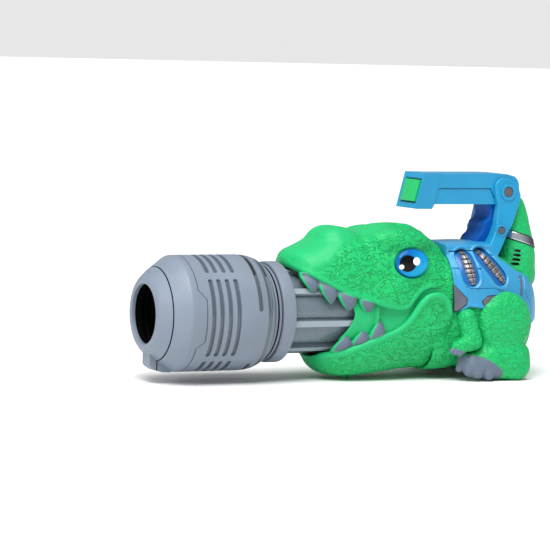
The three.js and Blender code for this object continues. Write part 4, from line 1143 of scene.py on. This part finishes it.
# degrees from the middle of a rib, r
RIB = (
    (-4.6, 30.4), (-4.3, 34.3), (-3.7, 35.0), (3.7, 35.0), (4.3, 34.4), (4.8, 29.6), (7.0, 29.2),
    (8.0, 30.6),
)


def make_barrel():
    """A round with square ribs, and hollows between them that swell a little."""
    outline = []
    for k in range(RIBS):
        start = FIRST_RIB + k * 360 / RIBS
        for t, r in RIB:
            outline.append((r, start + t))
        for t in range(12, 41, 4):
            outline.append((30.9 + 0.5 * math.sin(math.pi * (t - 8) / 32), start + t))
    points = [on_round(0, t, r)[1:] for r, t in outline]
    barrel = cross_plate("barrel", points, 103.9, 186)
    combine(barrel, [rod("bore", 100, 190, 13.5)])
    made = hand_over(barrel, "barrel", "barrel", ["barrel_tubes"], bevel=0.3, angle=28)
    # the ribs' outer faces get a lighter grey, a painted highlight
    paint_rounds(made, "rib", 34.3, 99)


# ---------- harness ----------

HARNESS_OUTLINE = [
    (255.6, 118), (255.6, 55), (262, 57), (268, 60), (284, 58), (300, 44), (330, 42), (341, 47), (349, 56),
    (349, 76), (343, 79.4), (334, 83.4), (320, 87.4), (304, 98), (296, 118),
]
OVALS = (
    {"at": (269.8, 90.8), "long": 15.0, "wide": 7.6, "lean": 6},
    {"at": (291.8, 91.6), "long": 17.4, "wide": 7.4, "lean": 36},
)


def oval_axes(x, z, oval):
    c, s = math.cos(math.radians(oval["lean"])), math.sin(math.radians(oval["lean"]))
    u, w = x - oval["at"][0], z - oval["at"][1]
    return u * c + w * s, -u * s + w * c


def oval_distance(x, z, oval, grow=0.0):
    """Distance from a rounded bar, below zero inside."""
    across, along = oval_axes(x, z, oval)
    straight = oval["long"] - oval["wide"]
    along = np.maximum(np.abs(along) - straight, 0)
    return np.sqrt(across ** 2 + along ** 2) - oval["wide"] - grow


HARNESS_LIFT = 2.5
HARNESS_EDGE = [(258.5, 52), (268, 61.4), (284, 59.4)]
# an open line of (x, z), half the width of its groove
HARNESS_SEAMS = (
    ([(256, 90.6), (262, 90.6)], 0.35),
    ([(274.4, 90.2), (281, 90.2)], 0.35),
    ([(258, 103.6), (284, 104.6), (296, 100.4)], 0.3),
    ([(326, 83.6), (323.4, 72), (331, 60), (331, 40)], 0.4),
    ([(264.6, 76.6), (270, 74.6), (292, 74.6), (304, 70)], 0.3),
)
GRILLE = {"at": (273, 66.4), "half": (7.2, 4.4), "start": 266, "pitch": 1.9, "depth": 0.55}
SADDLE_HALF = 27.0
SADDLE_REAR = 301
SADDLE_TOP = 110.9
SADDLE_CROWN = 0.0028


def make_harness():
    voxel = 0.6
    low = (253, -50, 34)
    x, y, z = grid(low, (354, 50, 116), voxel)
    skin = body_field(x, y, z, voxel)
    ovals = np.minimum(*[oval_distance(x, z, o) for o in OVALS])
    rim = bump(ovals - 1.5, 1.6)
    lower = bump(curve_distance(x, z, HARNESS_EDGE) - 0.6, 1.8)
    saddle = meet(np.abs(y) - SADDLE_HALF, z - SADDLE_TOP + SADDLE_CROWN * y * y, 1.4)
    saddle = meet(saddle, x - SADDLE_REAR, 3)
    outer = join(skin - HARNESS_LIFT, saddle, 1.6) - 0.9 * rim - 0.4 * lower
    solid = meet(outer, polygon(x, z, HARNESS_OUTLINE), 1.0)
    solid = meet(solid, x - 2 * HALF_LENGTH + 0.4, 1.0)
    solid = cut(solid, skin - 0.3, 0.2)
    solid = cut(solid, ovals + 0.4, 0.7)
    seams = np.minimum.reduce([curve_distance(x, z, line) - half for line, half in HARNESS_SEAMS])
    solid = cut(solid, np.maximum(seams, 1.5 - skin), 0.3)
    (cx, cz), (wide, tall) = GRILLE["at"], GRILLE["half"]
    grille = np.maximum(np.abs(x - cx) - wide, np.abs(z - cz) - tall)
    comb = GRILLE["depth"] * (0.5 - 0.5 * np.cos(2 * math.pi * (x - GRILLE["start"]) / GRILLE["pitch"]))
    solid = np.where((grille < 0) & (skin > 0.8), solid + comb, solid)
    mesh = surface("harness_mesh", solid, low, voxel, passes=1)
    piece("harness", mesh, "blue", ["harness_left", "harness_right"])


def flank_plate(name, outline, inner, outer, material):
    """A thin plate that follows the body's flank, on both sides."""
    voxel = 0.4
    xs, zs = [p[0] for p in outline], [p[1] for p in outline]
    low = (min(xs) - 2, -52, min(zs) - 2)
    x, y, z = grid(low, (max(xs) + 2, -8, max(zs) + 2), voxel)
    skin = body_field(x, y, z, voxel)
    solid = meet(skin - outer, polygon(x, z, outline), 0.35)
    solid = np.maximum(solid, inner - skin)
    mesh = surface(name, solid, low, voxel, passes=1)
    both_sides(name, mesh, material)


# (x, z) outline of a raised panel, width of its dark border
PANELS = {
    "hex": ([(254.6, 77.8), (256.0, 77), (265.2, 66.8), (265.0, 62.4), (258.4, 57.2), (254.6, 56.6)], 0.9),
    "small": ([(279.6, 64.4), (284.4, 68.4), (296, 69.4), (296, 56.4), (282, 58.4)], 0.9),
    "bar": ([(319.8, 83.2), (322.2, 83.4), (320.4, 69.2), (318.0, 68.8)], 0.7),
}


def make_flank_details():
    for name, (outline, reach) in PANELS.items():
        cx = sum(p[0] for p in outline) / len(outline)
        cz = sum(p[1] for p in outline) / len(outline)
        border = []
        for px, pz in outline:
            d = math.hypot(px - cx, pz - cz)
            border.append((px + reach * (px - cx) / d, pz + reach * (pz - cz) / d))
        flank_plate(name + "_border", border, 1.2, 2.85, "dark")
        flank_plate(name + "_panel", outline, 1.2, 3.15, "panel")
    for name, oval in zip(("front", "rear"), OVALS):
        make_oval(name, oval)


OVAL_PARTS = 6
INSERT_SHIFT = 1.0


def rungs(along, pitch):
    """Distance along an oval from the nearest line between two beads."""
    return np.abs((along / pitch + 0.5) % 1 - 0.5) * pitch


def make_oval(name, oval):
    """A glossy bowl in a darker blue, painted shade of the recess, with a row of beads in it."""
    voxel = 0.4
    cx, cz = oval["at"]
    low = (cx - 17, -52, cz - 17)
    x, y, z = grid(low, (cx + 17, -14, cz + 17), voxel)
    skin = body_field(x, y, z, voxel)
    inside = oval_distance(x, z, oval)
    bowl = np.maximum(np.maximum(inside - 0.2, skin - 0.9), 0.2 - skin)
    mesh = surface("bowl", bowl, low, voxel)
    both_sides("oval_bowl_%d" % OVALS.index(oval), mesh, "bowl")
    across, along = oval_axes(x - INSERT_SHIFT, z, oval)
    reach = oval["long"] - 4.0
    s = np.clip(along, -reach, reach)
    size = (oval["wide"] - 3.1) * np.sqrt(np.clip(1 - (s / (reach + 3.0)) ** 2, 0.05, 1))
    across_d = np.sqrt(across ** 2 + np.maximum(np.abs(along) - reach, 0) ** 2)
    f = np.sqrt((across_d / np.maximum(size, 0.5)) ** 2 + ((skin - 0.6) / 2.9) ** 2) - 1
    beads = normalised(f * 2.5, voxel)
    pitch = 2 * reach / OVAL_PARTS
    beads = beads + 0.9 * bump(rungs(along, pitch), 0.75) + 0.7 * bump(across, 0.7)
    beads = np.maximum(beads, 0.5 - skin)
    mesh = surface("beads", beads, low, voxel)
    points = points_of(mesh).T
    at_across, at_along = oval_axes(points[0] - INSERT_SHIFT, points[2], oval)
    # painted shade in the grooves between the beads and down their middle
    mark(mesh, "line", np.maximum(bump(rungs(at_along, pitch), 0.6), bump(at_across, 0.55)))
    both_sides("oval_insert_" + name, mesh, "chrome", "rib_insert_" + name)


# half the width, lift off the tail, material, slot
BANDS = {
    "band_edge": (3.9, 0.55, "dark", "black_plastic"),
    "band": (3.1, 1.0, "band", "silver"),
}
BAND_FRONT = (315, 118.4)
BAND_FALL = 0.31


def make_band():
    """A slanting band round the tail, with a dark edge."""
    voxel = 0.5
    low = (304, -26, 96)
    x, y, z = grid(low, (358, 26, 126), voxel)
    tail = tail_field(x, y, z, voxel)
    slant = z - (BAND_FRONT[1] - BAND_FALL * (x - BAND_FRONT[0]))
    for name, (half, lift, material, slot) in BANDS.items():
        solid = np.maximum(tail - lift, np.abs(slant) / 1.047 - half)
        solid = cut(solid, tail + 0.8, 0.2)
        solid = cut(solid, polygon(x, z, HANDLE_BACK), 0.5)
        mesh = surface(name, solid, low, voxel, passes=1)
        along = points_of(mesh)[:, 0]
        # painted shade: the band gets darker towards its rear and front ends
        rear, front = np.clip((along - 330) / 10, 0, 1), np.clip((323 - along) / 6, 0, 1)
        mark(mesh, "line", 0.85 * rear + 0.5 * front)
        piece("tail_" + name, mesh, material)


# ---------- handle ----------

HANDLE_HALF = 17.45
FACE = (235.45, 152.1)
FACE_TILT = math.atan2(7.5, 28.9)


def face_point(n, y, u):
    c, s = math.cos(FACE_TILT), math.sin(FACE_TILT)
    return (FACE[0] + n * c + u * s, y, FACE[1] - n * s + u * c)


def face_box(name, n0, n1, half, u0, u1, taper=0.0):
    rings = []
    for n, shrink in ((n0, taper), (n1, 0.0)):
        h = half - shrink
        rings.append([face_point(n, -h, u0 + shrink), face_point(n, h, u0 + shrink),
                      face_point(n, h, u1 - shrink), face_point(n, -h, u1 - shrink)])
    return loft(name, rings)


# (x, z) outlines
HANDLE_HEAD = [(231.7, 137.7), (246.2, 137.6), (248.4, 141.5), (252.8, 166.45), (239.2, 166.6)]
HANDLE_UPPER = [
    (240, 154.6), (301, 154.6), (308, 141.3), (327.6, 141.3), (328.6, 148), (327.4, 159), (326, 162),
    (323.4, 164.3), (316, 166.2), (306, 166.5), (240, 166.3),
]
HANDLE_LOWER = [(240, 141.4), (308, 141.4), (302, 156), (240, 156)]
HANDLE_LINE = [(253.4, 153.8), (300.4, 153.8), (307.2, 141.0), (308.2, 141.4), (301, 154.8), (253.4, 154.8)]
POST = [
    (301.4, 142), (303.6, 134), (302.6, 129.6), (297.6, 126.4), (297.4, 121), (295.8, 117.6), (291.6, 114.2),
    (287, 104), (300, 92), (304, 98), (312.6, 113.4), (316.8, 121), (320.4, 126.8), (324.4, 142),
]
UPPER_HALF = 16.9
LOWER_HALF = 16.1
POST_HALF = 13.4
SEAM_HALF = 0.18


def make_handle():
    head = side_plate("head", HANDLE_HEAD, -HANDLE_HALF, HANDLE_HALF)
    upper = side_plate("upper", HANDLE_UPPER, -UPPER_HALF, UPPER_HALF)
    lower = side_plate("lower", HANDLE_LOWER, -LOWER_HALF, LOWER_HALF)
    combine(head, [upper, lower], "UNION")
    cutters = [
        face_box("window", -5, 9.2, 12.7, -10.0, 10.0),
        face_box("recess", -5, 0.7, 13.5, -10.8, 10.8),
        side_plate("line", HANDLE_LINE, -19, -15.2),
        side_plate("line", HANDLE_LINE, 15.2, 19),
        box("seam", 225, 335, -SEAM_HALF, SEAM_HALF, 165.9, 170),
        box("seam", 225, 335, -SEAM_HALF, SEAM_HALF, 137, 142.0),
    ]
    combine(head, cutters)
    halves = ["handle_bar_left", "handle_bar_right"]
    hand_over(head, "handle", "handle", halves, bevel=0.7, segments=3)
    well = face_box("well", 7.9, 9.0, 12.4, -9.7, 9.7)
    hand_over(well, "button_well", "dark")
    button = face_box("button", -1.4, 4.4, 12.2, -9.5, 9.5, taper=0.5)
    hand_over(button, "button_cap", "button", ["trigger_button"], body="button",
              bevel=0.8, segments=3)
    post = side_plate("post", POST, -POST_HALF, POST_HALF)
    hand_over(post, "post", "inner", ["handle_post"], bevel=1.6, segments=3)
    for side, sign in zip(SIDES, (-1, 1)):
        make_arm_plate(side, sign)


# z, left x, right x, inner y, outer y
ARM_PLATE = [
    (163.4, 311, 316, 16.5, 18.6), (161.4, 306.6, 321, 16.5, 19.2), (157, 303.6, 325.4, 16.5, 19.8),
    (149, 304.2, 328.2, 16.5, 20.2), (141.1, 306.8, 326.4, 13.8, 20.6), (125.5, 304.6, 320.0, 13.8, 22.6),
    (117, 302, 314.2, 13.8, 24), (108.7, 297, 309.4, 13.8, 26), (100, 291.4, 303.6, 13.8, 28.4),
    (92, 286.4, 298.6, 13.8, 31),
]
# x, z, radius of the boss, radius of the cap, y of the plate there
PIVOTS = {"upper": (315.8, 151.7, 7.5, 4.1, 20.2), "lower": (308.2, 120.2, 5.4, 3.1, 23.8)}


def disc(name, x, z, r, inner, outer, sign, segments=64, top=None):
    """A round whose axis is y. The outer end may have another radius."""
    turns = [2 * math.pi * k / segments for k in range(segments)]
    rings = []
    for distance, radius in ((inner, r), (outer, top or r)):
        rings.append([(x + radius * math.cos(t), sign * distance, z + radius * math.sin(t)) for t in turns])
    return loft(name, rings)


def make_arm_plate(side, sign):
    """The outer plate of the handle's arm on one side, with its two pivots."""
    rings = []
    for z, a, b, inner, outer in ARM_PLATE:
        i, o = sign * inner, sign * outer
        rings.append([(a, i, z), (b, i, z), (b, o, z), (a, o, z)])
    name = "arm_plate_" + side
    hand_over(loft("plate", rings), name, "handle", [name], bevel=1.1, segments=3)
    for name, (x, z, ring, cap, out) in PIVOTS.items():
        boss = disc("boss", x, z, ring, out - 3, out + 1.0, sign, top=ring - 0.5)
        combine(boss, [disc("hole", x, z, cap + 0.35, out - 0.5, out + 5, sign)])
        hand_over(boss, "%s_boss_%s" % (name, side), "handle", bevel=0.35)
        button = disc("pin", x, z, cap, out - 1.5, out + 0.75, sign, top=cap - 0.3)
        hand_over(button, "%s_pivot_%s" % (name, side), "pivot",
                  ["%s_pivot_cap_%s" % (name, side)], bevel=0.35)


# ---------- eyes and teeth ----------


EYE_BLUES = ((0.1, (0.002, 0.10, 0.34)), (0.5, (0.003, 0.23, 0.58)), (0.9, (0.006, 0.36, 0.66)))
EYE_EDGE = (0.002, 0.10, 0.30)
# the blue gets lighter towards the tail and downwards, from the middle tone at this (x, z) in metres
SHADE_BACK = 26.0
SHADE_DOWN = 34.0
SHADE_AT = (0.0398, 0.0955)
EYE_BLACK = (0.003, 0.003, 0.004)
EYE_WHITE = (0.92, 0.94, 0.95)
# x, z, radius along x, radius along z
PUPIL = (211.5, 95.6, 7.3, 7.0)
GLINTS = ((218.8, 97.4, 3.3, 3.3), (206.2, 92.8, 2.0, 2.0))


def eye_material():
    """A painted eye: blue, darker above and in front, a thin dark edge, a pupil and two highlights."""
    n = Nodes("painted_eye")
    parts = n.add("SeparateXYZ", {"Vector": n.place})
    px, pz = parts.outputs["X"], parts.outputs["Z"]

    def disc_mask(x, z, rx, rz, soft=0.06):
        u = n.maths("DIVIDE", n.maths("SUBTRACT", px, (x - HALF_LENGTH) * 0.001), rx * 0.001)
        w = n.maths("DIVIDE", n.maths("SUBTRACT", pz, z * 0.001), rz * 0.001)
        reach = n.maths("SQRT", n.maths("ADD", n.maths("MULTIPLY", u, u), n.maths("MULTIPLY", w, w)))
        return n.grey_ramp(reach, 1.0 - soft, 1.0 + soft)

    slope = n.maths("ADD", n.maths("MULTIPLY", px, SHADE_BACK), n.maths("MULTIPLY", pz, -SHADE_DOWN))
    middle = SHADE_DOWN * SHADE_AT[1] - SHADE_BACK * SHADE_AT[0]
    shade = n.maths("ADD", slope, middle + 0.5)
    blue = n.ramp(shade, *EYE_BLUES)
    tone = n.mix(disc_mask(EYE[0], EYE[2], 14.0, 10.8, 0.04), blue, EYE_EDGE)
    tone = n.mix(disc_mask(*PUPIL), EYE_BLACK, tone)
    for glint in GLINTS:
        tone = n.mix(disc_mask(*glint), EYE_WHITE, tone)
    n.colour(tone)
    fine = n.noise(700.0, 2.0)
    n.set(Roughness=n.maths("ADD", n.maths("MULTIPLY", fine, 0.06), 0.14))
    n.set(Specular_IOR_Level=0.12, Coat_Weight=0.08, Coat_Roughness=0.1)
    return n.material


M["eye"] = eye_material()


def make_eyes():
    voxel = 0.4
    low = (EYE[0] - 17, -46, EYE[2] - 14)
    x, y, z = grid(low, (EYE[0] + 17, -32, EYE[2] + 14), voxel)
    centre = (EYE[0], -EYE[1], EYE[2])
    mesh = surface("eyeball", ellipsoid(x, y, z, centre, EYE_RADII), low, voxel, passes=2, amount=0.5)
    both_sides("eye_paint", mesh, "eye", "eye")


# x, length along the lip, drop of the point, lean of the point along x
UPPER_TEETH = (
    (131.6, 15.6, 13.2, 2.2), (145.6, 15.8, 14.8, 2.4), (161.2, 16.6, 12.8, 2.4), (177.8, 14.2, 10.2, 2.0),
)
LOWER_TEETH = ((161.4, 17.0, 11.6, 2.4), (176.0, 15.0, 10.6, 1.6), (189.2, 13.6, 12.8, 1.8))
TOOTH_DEPTH = 4.8
# teeth, table of their lip, way they point, lowest and highest z
TEETH = {
    "upper_teeth": (UPPER_TEETH, HEAD, -1, 48, 98),
    "lower_teeth": (LOWER_TEETH, JAW, 1, 16, 56),
}


def tooth_field(x, y, z, at, y_mid, lip, length, height, lean, direction):
    """A blunt cone, flatter across the lip than along it. It leans towards the tail."""
    up = (z - lip) * direction / height
    t = np.clip(up, -0.2, 1)
    size = np.clip(1 - np.clip(t, 0, 1) ** 1.7, 0.0, 1) ** 0.8 + 0.02
    cx = at + lean * np.clip(t, 0, 1) ** 1.3
    beside = np.sqrt(np.maximum((35.7 + 0.75 * TOOTH_DEPTH * size) ** 2 - (z - NOZZLE_Z) ** 2, 0))
    cy = -np.maximum(-y_mid - 0.8 * np.clip(t, 0, 1), beside)
    f = np.sqrt(((x - cx) / (size * length / 2)) ** 2 + ((y - cy) / (size * TOOTH_DEPTH)) ** 2) - 1
    d = f * np.minimum(size * TOOTH_DEPTH, 6)
    return np.maximum(np.maximum(d, (up - 1) * height), (-0.25 - up) * height)


def make_teeth():
    voxel = 0.5
    for name, (rows, table, direction, bottom, top) in TEETH.items():
        xs = [r[0] for r in rows]
        low = (min(xs) - 10, -48, bottom)
        x, y, z = grid(low, (max(xs) + 12, -20, top), voxel)
        total = None
        for at, length, height, lean in rows:
            _, lip, half2 = smooth_table(np.array(at), table)
            y_mid = -(math.sqrt(float(half2)) - TOOTH_DEPTH - 1.6)
            d = tooth_field(x, y, z, at, y_mid, float(lip), length, height, lean, direction)
            total = d if total is None else join(total, d, 1.0)
        _, lip, half2 = smooth_table(x, table)
        y_mid = -(np.sqrt(half2) - 4.6)
        gum = np.sqrt((y - y_mid) ** 2 + (z - lip + direction * 3.0) ** 2) - 3.0
        gum = np.maximum(gum, np.maximum(min(xs) - 5 - x, x - max(xs) - 6))
        total = join(total, gum, 1.5)
        total = cut(total, barrel_radius(y, z) - 35.4, 0.3)
        mesh = surface(name, total, low, voxel, passes=3, amount=0.5)
        p, normal = points_of(mesh), normals_of(mesh)
        _, lips, _ = smooth_table(p[:, 0], table)
        beyond = (p[:, 2] - lips) * direction
        facing = np.clip((-normal[:, 1] - 0.30 + 0.55 * normal[:, 0]) / 0.12, 0, 1)
        claws = facing * np.clip((beyond + 0.4) / 0.5, 0, 1)
        mark(mesh, "plain", np.ones(len(p)))
        mark(mesh, "claw", claws)
        both_sides(name + "_cones", mesh, "limb", name)


# ---------- underside ----------


SCREW_X = 311


def upright_round(name, levels, segments=40):
    """A round at the cover's screw from its levels of (r, z)."""
    turns = np.linspace(0, 2 * math.pi, segments, endpoint=False)
    return loft(name, [[(SCREW_X + r * math.cos(t), r * math.sin(t), z) for t in turns] for r, z in levels])


def make_underside():
    cover = box("cover", 266, 314, -17, 17, 8.8, 10.8)
    ribs = [box("rib", x, x + 1.2, -13.5, 13.5, 8.3, 9.2) for x in range(271, 304, 4)]
    combine(cover, [box("trough", 270, 304, -14, 14, 8.0, 9.4)])
    combine(cover, ribs, "UNION")
    combine(cover, [upright_round("hole", ((2.9, 5), (2.9, 14)))])
    hand_over(cover, "hatch", "dark", ["battery_cover"], body="cover", bevel=0.25)
    head = upright_round("head", ((2.1, 9.1), (2.5, 9.6), (2.5, 10.9)))
    along = box("slot", SCREW_X - 1.8, SCREW_X + 1.8, -0.4, 0.4, 8.5, 9.9)
    across = box("slot", SCREW_X - 0.4, SCREW_X + 0.4, -1.8, 1.8, 8.5, 9.9)
    combine(head, [along, across])
    hand_over(head, "hatch_screw", "steel", ["battery_screw"], body="cover")


# ---------- make it all ----------

dress_frame()
make_cap()
make_drum()
make_rings()
make_barrel()
make_head()
make_jaw()
make_throat()
make_torso()
make_leg()
make_arm()
make_tail()
make_band()
make_harness()
make_flank_details()
make_handle()
make_eyes()
make_teeth()
make_underside()

# ---------- camera, floor and light ----------

AZIMUTH, ELEVATION, ROLL = math.radians(26.1), math.radians(4.7), math.radians(1.6)
DISTANCE = 2.4
LENS = 196.36
SENSOR = 36.0
TARGET = Vector((-0.0610, 0.0, 0.08376))


def make_camera():
    flat = math.cos(ELEVATION)
    forward = Vector((math.sin(AZIMUTH) * flat, math.cos(AZIMUTH) * flat, -math.sin(ELEVATION)))
    level = Vector((math.cos(AZIMUTH), -math.sin(AZIMUTH), 0))
    upright = level.cross(forward)
    right = math.cos(ROLL) * level + math.sin(ROLL) * upright
    up = -math.sin(ROLL) * level + math.cos(ROLL) * upright
    data = bpy.data.cameras.new("camera")
    data.lens = LENS
    data.sensor_width = SENSOR
    data.clip_end = 50
    camera = bpy.data.objects.new("camera", data)
    matrix = Matrix((right, up, -forward)).transposed().to_4x4()
    matrix.translation = TARGET - forward * DISTANCE
    camera.matrix_world = matrix
    bpy.context.scene.collection.objects.link(camera)
    bpy.context.scene.camera = camera


def make_floor():
    bm = bmesh.new()
    bmesh.ops.create_grid(bm, x_segments=1, y_segments=1, size=20)
    mesh = bpy.data.meshes.new("floor")
    bm.to_mesh(mesh)
    bm.free()
    floor = bpy.data.objects.new("floor", mesh)
    floor.location.z = -0.0005
    bpy.context.scene.collection.objects.link(floor)
    n = Nodes("pale_floor")
    speckle = n.noise(60.0, 2.0)
    n.colour(n.mix(speckle, (0.90, 0.90, 0.905), (0.915, 0.915, 0.92)))
    n.set(Roughness=0.9)
    mesh.materials.append(n.material)


def area_light(name, position, target, size, power):
    data = bpy.data.lights.new(name, "AREA")
    data.shape = "RECTANGLE"
    data.size, data.size_y = size
    data.energy = power
    light = bpy.data.objects.new(name, data)
    light.location = position
    aim = Vector(target) - Vector(position)
    light.rotation_euler = aim.to_track_quat("-Z", "Y").to_euler()
    bpy.context.scene.collection.objects.link(light)


SURROUND = 0.42
SUN_POWER = 3.1
SUN_ANGLE = 0.8
SUN_WAY = (0.25, 0.35, -1.0)


def make_light():
    """A white surround that looks brighter to the camera than it lights, a soft sun and two lamps."""
    world = bpy.data.worlds.new("studio")
    world.use_nodes = True
    tree = world.node_tree
    surround = tree.nodes["Background"]
    surround.inputs["Color"].default_value = (1.0, 1.0, 1.0, 1)
    surround.inputs["Strength"].default_value = SURROUND
    seen = tree.nodes.new("ShaderNodeBackground")
    seen.inputs["Strength"].default_value = 1.0
    ray = tree.nodes.new("ShaderNodeLightPath")
    choose = tree.nodes.new("ShaderNodeMixShader")
    tree.links.new(ray.outputs["Is Camera Ray"], choose.inputs["Fac"])
    tree.links.new(surround.outputs["Background"], choose.inputs[1])
    tree.links.new(seen.outputs["Background"], choose.inputs[2])
    tree.links.new(choose.outputs["Shader"], tree.nodes["World Output"].inputs["Surface"])
    bpy.context.scene.world = world
    sun = bpy.data.lights.new("sun", "SUN")
    sun.energy = SUN_POWER
    sun.angle = SUN_ANGLE
    lamp = bpy.data.objects.new("sun", sun)
    lamp.rotation_euler = Vector(SUN_WAY).to_track_quat("-Z", "Y").to_euler()
    bpy.context.scene.collection.objects.link(lamp)
    area_light("key", (-0.7, -0.9, 1.3), (0, 0, 0.06), (0.5, 0.5), 8)
    area_light("front", (-1.4, -0.3, 0.5), (-0.05, 0, 0.06), (0.5, 0.9), 5)


make_camera()
make_floor()
make_light()
bpy.context.scene.view_settings.view_transform = "Standard"
